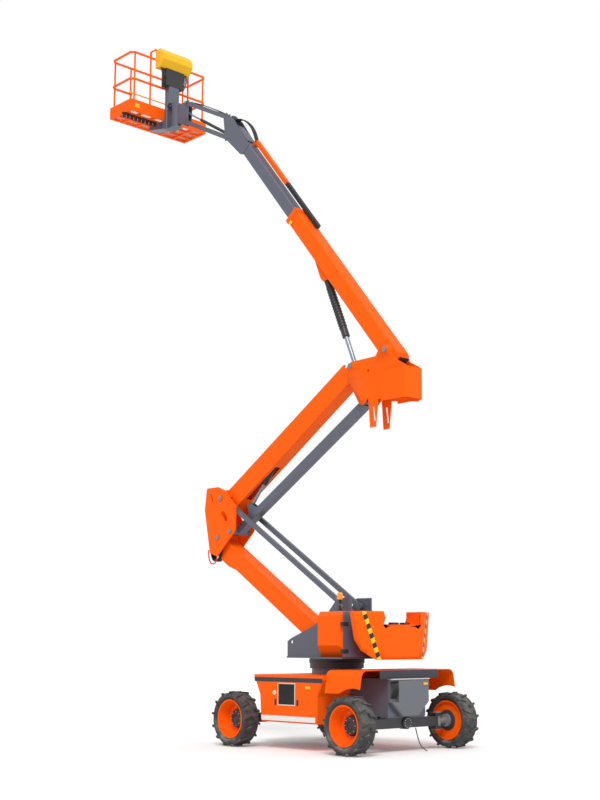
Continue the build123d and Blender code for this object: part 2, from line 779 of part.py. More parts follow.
# cylinders: name, barrel pin, rod pin, barrel radius, rod radius, pin radius, barrel length, pin to piston
cylinders = [
    ("riser_cylinder", riser_top_pin, riser_low_pin, 52, 30, riser_cylinder_pin, 660, 400),
    ("lift_cylinder", lift_top_pin, lift_low_pin, 62, 38, lift_cylinder_pin, 1160, 700),
    ("jib_cylinder", jib_barrel_pin, jib_rod_pin, 28, 16, jib_cylinder_pin, 950, 560),
]
for name, start, end, barrel_radius, rod_radius, pin_radius, barrel_length, piston in cylinders:
    reach, angle = between(start, end)
    across = Plane(
        origin=(start[0], 0, start[1]), x_dir=(0, 1, 0),
        z_dir=(cos(radians(angle)), 0, sin(radians(angle))),
    )
    with BuildPart() as barrel:
        with BuildSketch(across.offset(barrel_radius / 2)):
            Circle(barrel_radius)
        extrude(amount=barrel_length - barrel_radius / 2)
        with BuildSketch(side(0)):
            with Locations(start):
                Circle(0.72 * barrel_radius)
        extrude(amount=barrel_radius - 4, both=True)
        with BuildSketch(across.offset(barrel_length)):
            Circle(rod_radius + 0.4)
        extrude(amount=-barrel_length + barrel_radius + 25, mode=Mode.SUBTRACT)
        with BuildSketch(side(0)):
            with Locations(start):
                Circle(pin_radius + pin_play)
        extrude(amount=100, both=True, mode=Mode.SUBTRACT)
    keep(barrel.part, f"{name}_barrel")
    with BuildPart() as piston_rod:
        with BuildSketch(across.offset(piston)):
            Circle(rod_radius)
        extrude(amount=reach - piston)
        with BuildSketch(side(0)):
            with Locations(end):
                Circle(rod_radius + 12)
        extrude(amount=rod_radius + 4, both=True)
    keep(piston_rod.part, f"{name}_rod")

# ---------------------------------------------------------------- riser knuckle
knuckle_plate = 16
knuckle_gap = boom_width / 2 + play
# corners of a side plate from the upper riser's end pin
knuckle_corners = [
    (-14, 60), (-560, 70), (-650, 195), (-720, 245), (-800, 250), (-880, 205),
    (-1060, -50), (-1470, -160), (-1500, -580), (-1420, -690), (-610, -610),
    (-555, -1035), (-435, -1040), (-400, -560), (-290, -660), (-200, -640), (60, -200), (60, 0),
]
cover_reach = knuckle_gap + knuckle_plate + 34   # the rear cover's half width
cover_wall = 6
cover_start = upper_end[0] - 700
cover_end = upper_end[0] - 1530
with BuildPart() as riser_knuckle:
    # rear cover bent round the plates
    with BuildSketch(Plane.XY.offset(upper_end[1] - 660)):
        with BuildLine():
            FilletPolyline(
                (cover_start, cover_reach), (cover_end, cover_reach),
                (cover_end, -cover_reach), (cover_start, -cover_reach), radius=70,
            )
            Line((cover_start, -cover_reach), (cover_start, cover_reach))
        make_face()
        offset(amount=-cover_wall, mode=Mode.SUBTRACT)
        with Locations((cover_start, 0)):
            Rectangle(20, 2 * (cover_reach - cover_wall), mode=Mode.SUBTRACT)
    extrude(amount=480)
    for y in (knuckle_gap + knuckle_plate, -knuckle_gap):
        with BuildSketch(side(y)):
            with BuildLine():
                Polyline(*[shifted(upper_end, dx, dz) for dx, dz in knuckle_corners], close=True)
            make_face()
            with Locations(shifted(upper_end, -402, -139)):
                Circle(24, mode=Mode.SUBTRACT)
            with Locations(shifted(upper_end, -520, -820)):
                SlotOverall(260, 36, rotation=82, mode=Mode.SUBTRACT)
        extrude(amount=knuckle_plate)
    for hand in (1, -1):
        with BuildSketch(Plane.XZ.offset(-hand * (riser_width / 2 - riser_wall - 5))):
            with Locations(upper_end):
                Circle(riser_pin_radius)
        extrude(amount=-hand * (knuckle_gap + knuckle_plate + 8 - riser_width / 2 + riser_wall + 5))
    with BuildSketch(Plane.XZ):
        with Locations(link_end):
            Circle(riser_pin_radius)
    extrude(amount=knuckle_gap + knuckle_plate + 8, both=True)
    with BuildSketch(Plane.XZ):
        with Locations(boom_pin):
            Circle(riser_pin_radius + 5)
    extrude(amount=knuckle_gap + knuckle_plate + 8, both=True)
    with BuildSketch(Plane.YZ.offset(upper_end[0] - 1465)):
        with Locations((0, upper_end[1] - 370)):
            Rectangle(2 * (cover_reach - cover_wall / 2), 380)
    extrude(amount=12)
keep(riser_knuckle.part, "riser_knuckle")

# ---------------------------------------------------------------- telescopic boom
boom_run = member(boom_pin, boom_angle)


def across_boom(along):
    """A plane square to the boom, whose local X is +Y and whose local Y points up from the boom."""
    start = moved(boom_pin, along, boom_angle)
    return Plane(
        origin=(start[0], 0, start[1]), x_dir=(0, 1, 0),
        z_dir=(cos(radians(boom_angle)), 0, sin(radians(boom_angle))),
    )


boom_edge = 22                  # bevel along the boom's four long edges
fly_edge = 18
collar_length = 90
collar_rise = 8
with BuildPart() as main_boom:
    with BuildSketch(across_boom(-boom_tail)):
        Rectangle(boom_width, boom_depth)
        chamfer(vertices(), boom_edge)
    extrude(amount=boom_length + boom_tail)
    with BuildSketch(boom_run):
        with BuildLine():
            Polyline(
                (-boom_tail - 1, boom_depth / 2 + 1), (-boom_tail + 90, boom_depth / 2 + 1),
                (-boom_tail - 1, boom_depth / 2 - 90), close=True,
            )
        make_face()
    extrude(amount=boom_width / 2, both=True, mode=Mode.SUBTRACT)
    with BuildSketch(boom_run):
        with Locations((boom_length - collar_length / 2, 0)):
            Rectangle(collar_length, boom_depth + 2 * collar_rise)
    extrude(amount=boom_width / 2 + collar_rise, both=True)
    with BuildSketch(across_boom(-boom_tail + 150)):
        Rectangle(boom_width - 2 * boom_wall, boom_depth - 2 * boom_wall)
        chamfer(vertices(), boom_edge - boom_wall / 2)
    extrude(amount=boom_length + boom_tail, mode=Mode.SUBTRACT)
    with BuildSketch(boom_run):
        Circle(riser_pin_radius + 5 + 25)
    extrude(amount=boom_width / 2, both=True)
    with BuildSketch(boom_run):
        Circle(riser_pin_radius + 5 + pin_play)
    extrude(amount=boom_width, both=True, mode=Mode.SUBTRACT)
    for y in (90, -75):
        with BuildSketch(member(boom_pin, boom_angle, y)):
            with BuildLine():
                Polyline(
                    (lift_lug[0] - 120, -boom_depth / 2), (lift_lug[0] + 420, -boom_depth / 2),
                    (lift_lug[0] + 50, lift_lug[1] - 50), (lift_lug[0] - 50, lift_lug[1] - 50), close=True,
                )
            make_face()
        extrude(amount=15)
    with BuildSketch(boom_run):
        with Locations(lift_lug):
            Circle(lift_cylinder_pin)
    extrude(amount=90, both=True)
keep(main_boom.part, "main_boom")

with BuildPart() as wear_pads:
    with BuildSketch(member(boom_pin, boom_angle)):
        with Locations((boom_length - 60, 0)):
            Rectangle(120, boom_depth - 2 * boom_wall)
        with Locations((boom_length - 60, 0)):
            Rectangle(120, fly_depth + 1, mode=Mode.SUBTRACT)
    extrude(amount=60, both=True)
keep(wear_pads.part, "wear_pads")

fly_start = fly_extension + 100
fly_tube_end = boom_length + fly_extension + 10
fly_head_end = fly_reach + fly_extension
head_plate = 12
with BuildPart() as fly_boom:
    with BuildSketch(across_boom(fly_start)):
        Rectangle(fly_width, fly_depth)
        chamfer(vertices(), fly_edge)
    extrude(amount=fly_tube_end + 120 - fly_start)
    with BuildSketch(across_boom(fly_start - 10)):
        Rectangle(fly_width - 2 * fly_wall, fly_depth - 2 * fly_wall)
        chamfer(vertices(), fly_edge - fly_wall / 2)
    extrude(amount=fly_tube_end + 140 - fly_start, mode=Mode.SUBTRACT)
    for y in (fly_width / 2 + 6, -fly_width / 2 + 6):
        with BuildSketch(member(boom_pin, boom_angle, y)):
            with BuildLine():
                Polyline(
                    (fly_tube_end, 110), (fly_head_end - 260, 150), (fly_head_end + 40, 110),
                    (fly_head_end + 60, 20), (fly_head_end - 60, -60), (fly_head_end - 330, -220),
                    (fly_tube_end + 60, -150), (fly_tube_end, -110), close=True,
                )
            make_face()
            with Locations((fly_head_end, fly_pin_rise)):
                Circle(25 + pin_play, mode=Mode.SUBTRACT)
        extrude(amount=head_plate)
    with BuildSketch(boom_run):
        with Locations((fly_tube_end + 350, 125)):
            Rectangle(500, 10)
    extrude(amount=fly_width / 2 - 5, both=True)
keep(fly_boom.part, "fly_boom")

tray_start = boom_length + 700
tray_end = fly_tube_end + 60
tray_low = boom_depth / 2 + 15  # underside of the tray above the boom's line
tray_height = 70
tray_width = 72
chain_length = 1250
chain_height = 64
with BuildPart() as hose_tray:
    with BuildSketch(member(boom_pin, boom_angle, -20)):
        with BuildLine():
            Polyline(
                (tray_start, tray_low), (tray_end, tray_low), (tray_end, tray_low + 30),
                (tray_end - 40, tray_low + tray_height), (tray_start, tray_low + tray_height), close=True,
            )
        make_face()
        with Locations((fly_tube_end + 40, (fly_depth + boom_depth) / 4 + 25)):
            Rectangle(40, (boom_depth - fly_depth) / 2 + 50)
    extrude(amount=tray_width)
keep(hose_tray.part, "hose_tray")

with BuildPart() as drag_chain:
    with BuildSketch(member(boom_pin, boom_angle, -26)):
        with Locations((tray_start - chain_length / 2, tray_low + 5 + chain_height / 2)):
            SlotOverall(chain_length, chain_height)
            SlotOverall(chain_length - 50, chain_height - 50, mode=Mode.SUBTRACT)
    extrude(amount=tray_width - 12)
    with BuildSketch(member(boom_pin, boom_angle, -26)):
        with Locations((tray_start - chain_height / 4, tray_low + 5 + chain_height / 2)):
            Rectangle(chain_height / 2, chain_height)
    extrude(amount=tray_width - 12)
keep(drag_chain.part, "drag_chain")

# ---------------------------------------------------------------- jib
inner_plate = 34
arm_inside = 48
arm_wall = 22
with BuildPart() as jib_base:
    for y in (inner_plate + 10, -inner_plate):
        with BuildSketch(side(y)):
            with BuildLine():
                Polyline(
                    shifted(jib_top_pin, -60, 50), shifted(jib_top_pin, 50, 50),
                    shifted(jib_barrel_pin, 60, 30),
                    shifted(jib_low_pin, 55, -50), shifted(jib_low_pin, -50, -50), close=True,
                )
            make_face()
        extrude(amount=10)
    with BuildSketch(Plane.XZ):
        with Locations(jib_top_pin):
            Circle(25)
    extrude(amount=fly_width / 2 + 12, both=True)
    with BuildSketch(Plane.XZ):
        with Locations(jib_low_pin):
            Circle(20)
    extrude(amount=arm_inside + arm_wall + 6, both=True)
    with BuildSketch(Plane.XZ):
        with Locations(jib_barrel_pin):
            Circle(jib_cylinder_pin)
    extrude(amount=inner_plate, both=True)
keep(jib_base.part, "jib_base")

for name, start, web_side in (("upper", jib_top_pin, 1), ("lower", jib_low_pin, -1)):
    pin = 25 if name == "upper" else 20
    with BuildPart() as arm:
        for y in (arm_inside + arm_wall, -arm_inside):
            with BuildSketch(member(start, jib_angle, y)):
                with Locations((jib_length / 2, 0)):
                    Rectangle(jib_length, 80)
                with Locations((0, 0), (jib_length, 0)):
                    Circle(44)
                with Locations((0, 0)):
                    Circle(pin + pin_play, mode=Mode.SUBTRACT)
                with Locations((jib_length, 0)):
                    Circle(20 + pin_play, mode=Mode.SUBTRACT)
            extrude(amount=arm_wall)
        with BuildSketch(member(start, jib_angle)):
            with Locations((jib_length / 2, web_side * 36)):
                Rectangle(jib_length - 340, 8)
        extrude(amount=arm_inside, both=True)
    keep(arm.part, f"jib_{name}_arm")

rotator_radius = 95
rotator_low = jib_low_end[1] + 40
rotator_high = jib_top_end[1] + 80
with BuildPart() as jib_end:
    for y in (inner_plate + 10, -inner_plate):
        with BuildSketch(side(y)):
            with BuildLine():
                Polyline(
                    shifted(jib_top_end, -45, 45), shifted(jib_top_end, 330, 60),
                    shifted(jib_low_end, 330, 90), shifted(jib_low_end, 120, -10),
                    shifted(jib_low_end, 50, -45),
                    shifted(jib_low_end, -45, -40),
                    close=True,
                )
            make_face()
        extrude(amount=10)
    for pin in (jib_top_end, jib_low_end):
        with BuildSketch(Plane.XZ):
            with Locations(pin):
                Circle(20)
        extrude(amount=arm_inside + arm_wall + 6, both=True)
    with BuildSketch(Plane.XY.offset(rotator_low)):
        with Locations((rotator_x, 0)):
            Circle(rotator_radius)
    extrude(amount=rotator_high - rotator_low)
keep(jib_end.part, "jib_end")

mount_front = platform_rear_x - 2
column_low = rotator_low - 20.5
column_top = rotator_high + 400
column_depth = 130
frame_depth = 45                # members under the platform floor
with BuildPart() as platform_mount:
    for z in (column_low, rotator_high + 0.5):
        with BuildSketch(Plane.XY.offset(z)):
            with Locations((rotator_x, 0)):
                Circle(rotator_radius)
            with Locations(((rotator_x + mount_front) / 2, 0)):
                Rectangle(mount_front - rotator_x, 180)
        extrude(amount=20)
    with BuildSketch(Plane.XZ):
        with BuildLine():
            Polyline(
                (mount_front, column_low), (mount_front, column_top),
                (mount_front - column_depth - 30, column_top),
                (mount_front - column_depth - 30, rotator_high + 60),
                (mount_front - column_depth + 50, rotator_high + 20.5),
                (mount_front - column_depth + 50, column_low), close=True,
            )
        make_face()
    extrude(amount=120, both=True)
    chamfer(platform_mount.edges().filter_by(Axis.Z).filter_by(lambda e: e.length > 250), 16)
    # arm under the floor that carries the platform
    with BuildSketch(Plane.XZ):
        with BuildLine():
            Polyline(
                (mount_front - 70, column_low), (mount_front + 500, floor_z - frame_depth - 60),
                (mount_front + 500, floor_z - frame_depth), (mount_front - 70, floor_z - frame_depth),
                close=True,
            )
        make_face()
    extrude(amount=110, both=True)
keep(platform_mount.part, "platform_mount")

# ---------------------------------------------------------------- platform
front_x = platform_rear_x + platform_length
middle_x = (platform_rear_x + front_x) / 2
half_width = platform_width / 2
tube = rail_tube / 2
rail_top = floor_z + rail_height - tube
rail_mid = floor_z + 600
frame_bar = 40
post_y = half_width - 82
gate_y = 450                    # posts each side of the entry and of the console
guard_top = rail_top + 210
kick_height = 180
kick_thickness = 4
sleeve = 26
with BuildPart() as platform_frame:
    with BuildSketch(Plane.XY.offset(floor_z - frame_depth)):
        with Locations((middle_x, 0)):
            Rectangle(platform_length, platform_width)
            Rectangle(platform_length - 2 * frame_bar, platform_width - 2 * frame_bar, mode=Mode.SUBTRACT)
        for y in (-600, -300, 0, 300, 600):
            with Locations((middle_x, y)):
                Rectangle(platform_length, frame_bar)
        for x in (platform_rear_x + platform_length / 3, front_x - platform_length / 3):
            with Locations((x, 0)):
                Rectangle(30, platform_width)
    extrude(amount=frame_depth)
    for x in (platform_rear_x + tube, front_x - tube):
        for y in (-post_y, -gate_y, gate_y, post_y):
            with BuildSketch(Plane.XY.offset(floor_z - 20)):
                with Locations((x, y)):
                    RegularPolygon(tube, 8, major_radius=False)
            extrude(amount=rail_top - floor_z + 20)
    for z in (rail_mid, rail_top):
        with BuildSketch(Plane.XY.offset(z)):
            with Locations((middle_x, 0)):
                Rectangle(platform_length, platform_width)
                chamfer(vertices(), 70)
                offset(amount=-rail_tube, kind=Kind.INTERSECTION, mode=Mode.SUBTRACT)
            if z == rail_mid:
                with Locations((front_x - tube, 0)):
                    Rectangle(rail_tube + 2, 2 * gate_y - 4 * tube, mode=Mode.SUBTRACT)
        extrude(amount=tube, both=True)
    # raised guard over the console
    with BuildSketch(Plane.YZ.offset(platform_rear_x + tube)):
        with BuildLine():
            Polyline(
                (gate_y + tube, rail_top), (gate_y + tube, guard_top - 90), (gate_y - 90, guard_top),
                (90 - gate_y, guard_top), (-gate_y - tube, guard_top - 90), (-gate_y - tube, rail_top),
                (-gate_y + tube, rail_top), (-gate_y + tube, guard_top - 105),
                (103 - gate_y, guard_top - rail_tube), (gate_y - 103, guard_top - rail_tube),
                (gate_y - tube, guard_top - 105), (gate_y - tube, rail_top), close=True,
            )
        make_face()
    extrude(amount=tube - 2, both=True)
    # kick plates
    with BuildSketch(Plane.XY.offset(floor_z)):
        with Locations((middle_x, 0)):
            Rectangle(platform_length, platform_width)
            offset(amount=-kick_thickness, kind=Kind.INTERSECTION, mode=Mode.SUBTRACT)
    extrude(amount=kick_height)
keep(platform_frame.part, "platform_frame")

# bar that slides up the front posts, its sleeves at rest on the ends of the mid rail
sleeve_low = rail_mid + tube + seat_gap
sleeve_length = 46
with BuildPart() as entry_bar:
    for y in (-gate_y, gate_y):
        with BuildSketch(Plane.XY.offset(sleeve_low)):
            with Locations((front_x - tube, y)):
                RegularPolygon(sleeve, 8, major_radius=False)
                RegularPolygon(tube + 1, 8, major_radius=False, mode=Mode.SUBTRACT)
        extrude(amount=sleeve_length)
    with BuildSketch(Plane.XZ):
        with Locations((front_x - tube, sleeve_low + sleeve_length / 2)):
            RegularPolygon(13, 8)
    extrude(amount=gate_y - tube - 6, both=True)
keep(entry_bar.part, "entry_bar")

with BuildPart() as floor:
    with BuildSketch(Plane.XY.offset(floor_z)):
        with Locations((middle_x, 0)):
            Rectangle(platform_length - 2 * rail_tube - 8, platform_width - 2 * rail_tube - 8)
    extrude(amount=5)
keep(floor.part, "platform_floor")

teeth = 9
tooth_pitch = 88
tooth_width = 42
tooth_height = 62
bar_height = 34
bar_start = 150
teeth_middle = floor_z - frame_depth - bar_height - tooth_height / 2
with BuildPart() as toothed_bar:
    with BuildSketch(Plane.YZ.offset(platform_rear_x + 190)):
        with Locations((bar_start + teeth * tooth_pitch / 2, floor_z - frame_depth - bar_height / 2)):
            Rectangle(teeth * tooth_pitch, bar_height)
        for tooth in range(teeth):
            with Locations((bar_start + (tooth + 0.5) * tooth_pitch, teeth_middle)):
                Rectangle(tooth_width, tooth_height + 2)
    extrude(amount=40)
keep(toothed_bar.part, "toothed_bar")

cover_front = platform_rear_x - seat_gap
cover_low = rail_top - 190
cover_high = rail_top + 170
cover_skin = 6
cover_half = 350
# profile of the console's cover as (distance behind the rear rail, height)
cover_profile = [(0, cover_low), (0, cover_high), (150, cover_high + 10), (250, cover_high - 110),
                 (262, cover_high - 230), (150, cover_low)]
with BuildPart() as console:
    with BuildSketch(Plane.XZ):
        with BuildLine():
            Polyline(*[(cover_front - x, z) for x, z in cover_profile], close=True)
        make_face()
        fillet(vertices().sort_by(Axis.X)[:4], radius=45)
    extrude(amount=cover_half, both=True)
    with BuildSketch(Plane.XZ):
        with BuildLine():
            Polyline(*[(cover_front - x, z) for x, z in cover_profile], close=True)
        make_face()
        fillet(vertices().sort_by(Axis.X)[:4], radius=45)
        offset(amount=-cover_skin, mode=Mode.REPLACE)
        with Locations((cover_front, (cover_low + cover_high) / 2)):
            Rectangle(40, cover_high - cover_low - 2 * cover_skin)
    extrude(amount=cover_half - cover_skin, both=True, mode=Mode.SUBTRACT)
keep(console.part, "console_cover")

with BuildPart() as console_base:
    with BuildSketch(Plane.XY.offset(column_top)):
        with Locations((mount_front - 90, 0)):
            Rectangle(150, 420)
    extrude(amount=cover_low - seat_gap - column_top)
keep(console_base.part, "console_base")
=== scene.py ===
import json
import math

import bmesh
import bpy
from mathutils import Matrix, Vector


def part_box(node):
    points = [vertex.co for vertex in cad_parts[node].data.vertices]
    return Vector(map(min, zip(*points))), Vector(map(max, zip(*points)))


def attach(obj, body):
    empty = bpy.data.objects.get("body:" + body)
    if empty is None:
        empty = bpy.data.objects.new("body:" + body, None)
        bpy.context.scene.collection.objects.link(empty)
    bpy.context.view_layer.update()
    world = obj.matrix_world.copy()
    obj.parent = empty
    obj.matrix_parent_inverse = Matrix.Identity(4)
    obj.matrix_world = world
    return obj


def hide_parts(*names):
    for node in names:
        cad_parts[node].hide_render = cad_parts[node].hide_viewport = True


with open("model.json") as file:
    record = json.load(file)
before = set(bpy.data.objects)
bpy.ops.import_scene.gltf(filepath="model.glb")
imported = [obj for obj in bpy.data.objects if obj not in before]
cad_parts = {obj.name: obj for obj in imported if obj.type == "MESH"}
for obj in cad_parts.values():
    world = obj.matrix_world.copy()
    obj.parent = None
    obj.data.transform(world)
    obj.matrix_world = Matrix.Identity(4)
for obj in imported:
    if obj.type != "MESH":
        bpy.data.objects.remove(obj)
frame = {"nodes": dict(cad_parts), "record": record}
nodes = frame["nodes"]
joints = {joint["name"]: joint for joint in frame["record"]["behaviour"]["joints"]}
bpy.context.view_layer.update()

# Studio: a white floor and an even, soft light from the left, so that paint colours show as they are.
# World and floor are white to the camera and in reflections, and the floor keeps the machine's shadow.
scene = bpy.context.scene
scene.view_settings.view_transform = "Standard"
world = bpy.data.worlds.new("studio")
world.use_nodes = True
scene.world = world
sky = world.node_tree
background = sky.nodes["Background"]
background.inputs["Color"].default_value = (1, 1, 1, 1)
paths = sky.nodes.new("ShaderNodeLightPath")
shows = sky.nodes.new("ShaderNodeMath")
shows.operation = "MAXIMUM"
level = sky.nodes.new("ShaderNodeMapRange")
level.inputs["To Min"].default_value = 0.62
level.inputs["To Max"].default_value = 1.0
sky.links.new(paths.outputs["Is Camera Ray"], shows.inputs[0])
sky.links.new(paths.outputs["Is Glossy Ray"], shows.inputs[1])
sky.links.new(shows.outputs[0], level.inputs["Value"])
sky.links.new(level.outputs["Result"], background.inputs["Strength"])


def sun(name, strength, spread, towards):
    """A distant lamp that shines along the vector towards."""
    lamp = bpy.data.lights.new(name, "SUN")
    lamp.energy = strength
    lamp.angle = math.radians(spread)
    obj = bpy.data.objects.new(name, lamp)
    obj.rotation_euler = Vector(towards).to_track_quat("-Z", "Y").to_euler()
    scene.collection.objects.link(obj)


sun("key", 1.75, 22, (0.62, -0.62, -0.95))
sun("fill", 0.35, 60, (0.9, 0.6, -0.5))

floor_size = 400
floor_mesh = bpy.data.meshes.new("studio_floor")
floor_mesh.from_pydata(
    [(floor_size * x, floor_size * y, 0) for x, y in ((-1, -1), (1, -1), (1, 1), (-1, 1))],
    [], [(0, 1, 2, 3)],
)
floor = bpy.data.objects.new("studio_floor", floor_mesh)
scene.collection.objects.link(floor)
floor_paint = bpy.data.materials.new("studio_floor")
floor_paint.use_nodes = True
floor_tree = floor_paint.node_tree
floor_surface = floor_tree.nodes["Principled BSDF"]
floor_surface.inputs["Base Color"].default_value = (0.92, 0.92, 0.92, 1)
floor_surface.inputs["Roughness"].default_value = 0.9
floor_surface.inputs["Specular IOR Level"].default_value = 0.0
floor_surface.inputs["Emission Color"].default_value = (1, 1, 1, 1)
floor_paths = floor_tree.nodes.new("ShaderNodeLightPath")
floor_glow = floor_tree.nodes.new("ShaderNodeMath")
floor_glow.operation = "MULTIPLY"
floor_glow.inputs[1].default_value = 0.10
floor_tree.links.new(floor_paths.outputs["Is Camera Ray"], floor_glow.inputs[0])
floor_tree.links.new(floor_glow.outputs[0], floor_surface.inputs["Emission Strength"])
floor_mesh.materials.append(floor_paint)

camera_yaw = -0.759
camera_pitch = 0.164
camera_data = bpy.data.cameras.new("camera")
camera_data.sensor_fit = "VERTICAL"
camera_data.sensor_height = 36
camera_data.lens = 58.93
camera_data.shift_x = -0.036
camera_data.shift_y = 0.032
camera_data.clip_end = 500
camera = bpy.data.objects.new("camera", camera_data)
camera.location = (-14.938, 14.344, 1.583)
looks_along = Vector((
    math.cos(camera_yaw) * math.cos(camera_pitch),
    math.sin(camera_yaw) * math.cos(camera_pitch),
    math.sin(camera_pitch),
))
camera.rotation_euler = looks_along.to_track_quat("-Z", "Y").to_euler()
scene.collection.objects.link(camera)
scene.camera = camera


# Frame and axles: a box frame of folded plate, enamelled slate, on two axle beams in black enamel.
# The rear beam's forks hold cast knuckles that steer. Beams and brackets are bolted under the frame.
def shader_group(name, inputs, outputs):
    """An empty shader node group with named sockets, as (type, name, default) and (type, name)."""
    tree = bpy.data.node_groups.new(name, "ShaderNodeTree")
    for kind, label, default in inputs:
        socket = tree.interface.new_socket(label, in_out="INPUT", socket_type=kind)
        socket.default_value = default
    for kind, label in outputs:
        tree.interface.new_socket(label, in_out="OUTPUT", socket_type=kind)
    return tree, tree.nodes.new("NodeGroupInput"), tree.nodes.new("NodeGroupOutput")


def grime_group():
    """Dust in patches on whatever faces up, and a film near the ground, over a colour and a roughness."""
    tree, source, result = shader_group(
        "grime",
        [
            ("NodeSocketColor", "Colour", (1, 1, 1, 1)), ("NodeSocketFloat", "Roughness", 0.35),
            ("NodeSocketFloat", "Dust", 0.12), ("NodeSocketFloat", "Scale", 3.0),
            ("NodeSocketFloat", "Bump", 0.02),
        ],
        [("NodeSocketColor", "Colour"), ("NodeSocketFloat", "Roughness"), ("NodeSocketVector", "Normal")],
    )
    new, link = tree.nodes.new, tree.links.new
    place = new("ShaderNodeTexCoord")
    cloud = new("ShaderNodeTexNoise")
    cloud.inputs["Detail"].default_value = 5
    link(place.outputs["Object"], cloud.inputs["Vector"])
    link(source.outputs["Scale"], cloud.inputs["Scale"])
    face = new("ShaderNodeNewGeometry")
    split = new("ShaderNodeSeparateXYZ")
    link(face.outputs["Normal"], split.inputs["Vector"])
    up = new("ShaderNodeMapRange")
    up.inputs["From Min"].default_value = -0.2
    up.inputs["To Min"].default_value = 0.2
    link(split.outputs["Z"], up.inputs["Value"])
    height = new("ShaderNodeSeparateXYZ")
    link(place.outputs["Object"], height.inputs["Vector"])
    low = new("ShaderNodeMapRange")
    low.inputs["From Max"].default_value = 0.9
    low.inputs["To Min"].default_value = 1.9
    low.inputs["To Max"].default_value = 0.7
    link(height.outputs["Z"], low.inputs["Value"])
    spread = new("ShaderNodeMapRange")
    spread.inputs["From Min"].default_value = 0.35
    spread.inputs["From Max"].default_value = 0.75
    link(cloud.outputs["Fac"], spread.inputs["Value"])
    lies = new("ShaderNodeMath")
    lies.operation = "MULTIPLY"
    link(up.outputs["Result"], lies.inputs[0])
    link(low.outputs["Result"], lies.inputs[1])
    much = new("ShaderNodeMath")
    much.operation = "MULTIPLY"
    link(lies.outputs[0], much.inputs[0])
    link(spread.outputs["Result"], much.inputs[1])
    dust = new("ShaderNodeMath")
    dust.operation = "MULTIPLY"
    dust.use_clamp = True
    link(much.outputs[0], dust.inputs[0])
    link(source.outputs["Dust"], dust.inputs[1])
    colour = new("ShaderNodeMix")
    colour.data_type = "RGBA"
    colour.inputs[7].default_value = (0.34, 0.31, 0.27, 1)
    link(dust.outputs[0], colour.inputs[0])
    link(source.outputs["Colour"], colour.inputs[6])
    link(colour.outputs[2], result.inputs["Colour"])
    fine = new("ShaderNodeTexNoise")
    fine.inputs["Scale"].default_value = 40
    fine.inputs["Detail"].default_value = 3
    link(place.outputs["Object"], fine.inputs["Vector"])
    rough = new("ShaderNodeMath")
    rough.operation = "MULTIPLY_ADD"
    rough.inputs[1].default_value = 0.18
    link(spread.outputs["Result"], rough.inputs[0])
    link(source.outputs["Roughness"], rough.inputs[2])
    link(rough.outputs[0], result.inputs["Roughness"])
    bump = new("ShaderNodeBump")
    bump.inputs["Distance"].default_value = 0.01
    link(source.outputs["Bump"], bump.inputs["Strength"])
    link(fine.outputs["Fac"], bump.inputs["Height"])
    link(bump.outputs["Normal"], result.inputs["Normal"])
    return tree


grime = grime_group()


def coated(
    name, colour, roughness=0.35, metallic=0.0, coat=0.0, dust=0.12, scale=3.0, bump=0.02, specular=0.5,
):
    """A material of one colour under the grime group."""
    material = bpy.data.materials.new(name)
    material.use_nodes = True
    tree = material.node_tree
    surface = tree.nodes["Principled BSDF"]
    surface.inputs["Metallic"].default_value = metallic
    surface.inputs["Coat Weight"].default_value = coat
    surface.inputs["Coat Roughness"].default_value = 0.12
    surface.inputs["Specular IOR Level"].default_value = specular
    over = tree.nodes.new("ShaderNodeGroup")
    over.name = "over"
    over.node_tree = grime
    over.inputs["Colour"].default_value = (*colour, 1)
    over.inputs["Roughness"].default_value = roughness
    over.inputs["Dust"].default_value = dust
    over.inputs["Scale"].default_value = scale
    over.inputs["Bump"].default_value = bump
    tree.links.new(over.outputs["Colour"], surface.inputs["Base Color"])
    tree.links.new(over.outputs["Roughness"], surface.inputs["Roughness"])
    tree.links.new(over.outputs["Normal"], surface.inputs["Normal"])
    return material


def finish(material, *names):
    """CAD nodes keep their shape and take this material."""
    for name in names:
        mesh = nodes[name].data
        mesh.materials.clear()
        mesh.materials.append(material)


def fitted(name, mesh, material, body):
    """A finished mesh as a piece that rides on a body and takes a slot's finish."""
    mesh.name = name
    mesh.materials.clear()
    mesh.materials.append(material)
    mesh.polygons.foreach_set("use_smooth", [True] * len(mesh.polygons))
    mesh.polygons.foreach_set("material_index", [0] * len(mesh.polygons))
    mesh.set_sharp_from_angle(angle=math.radians(35))
    obj = bpy.data.objects.new(name, mesh)
    scene.collection.objects.link(obj)
    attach(obj, body)
    return obj


def gathered(*meshes):
    """Several meshes as one."""
    build = bmesh.new()
    for mesh in meshes:
        build.from_mesh(mesh)
        bpy.data.meshes.remove(mesh)
    whole = bpy.data.meshes.new("gathered")
    build.to_mesh(whole)
    build.free()
    return whole


def blocks(corners, bevel=0.004):
    """Bevelled blocks from pairs of opposite corners, as one mesh."""
    parts = []
    for low, high in corners:
        build = bmesh.new()
        bmesh.ops.create_cube(build, size=1.0)
        for vert in build.verts:
            vert.co = Vector([(a + b) / 2 + v * abs(b - a) for a, b, v in zip(low, high, vert.co)])
        if bevel:
            bmesh.ops.bevel(build, geom=build.edges[:], offset=bevel, segments=2, affect="EDGES", profile=0.6)
        mesh = bpy.data.meshes.new("block")
        build.to_mesh(mesh)
        build.free()
        parts.append(mesh)
    return gathered(*parts)


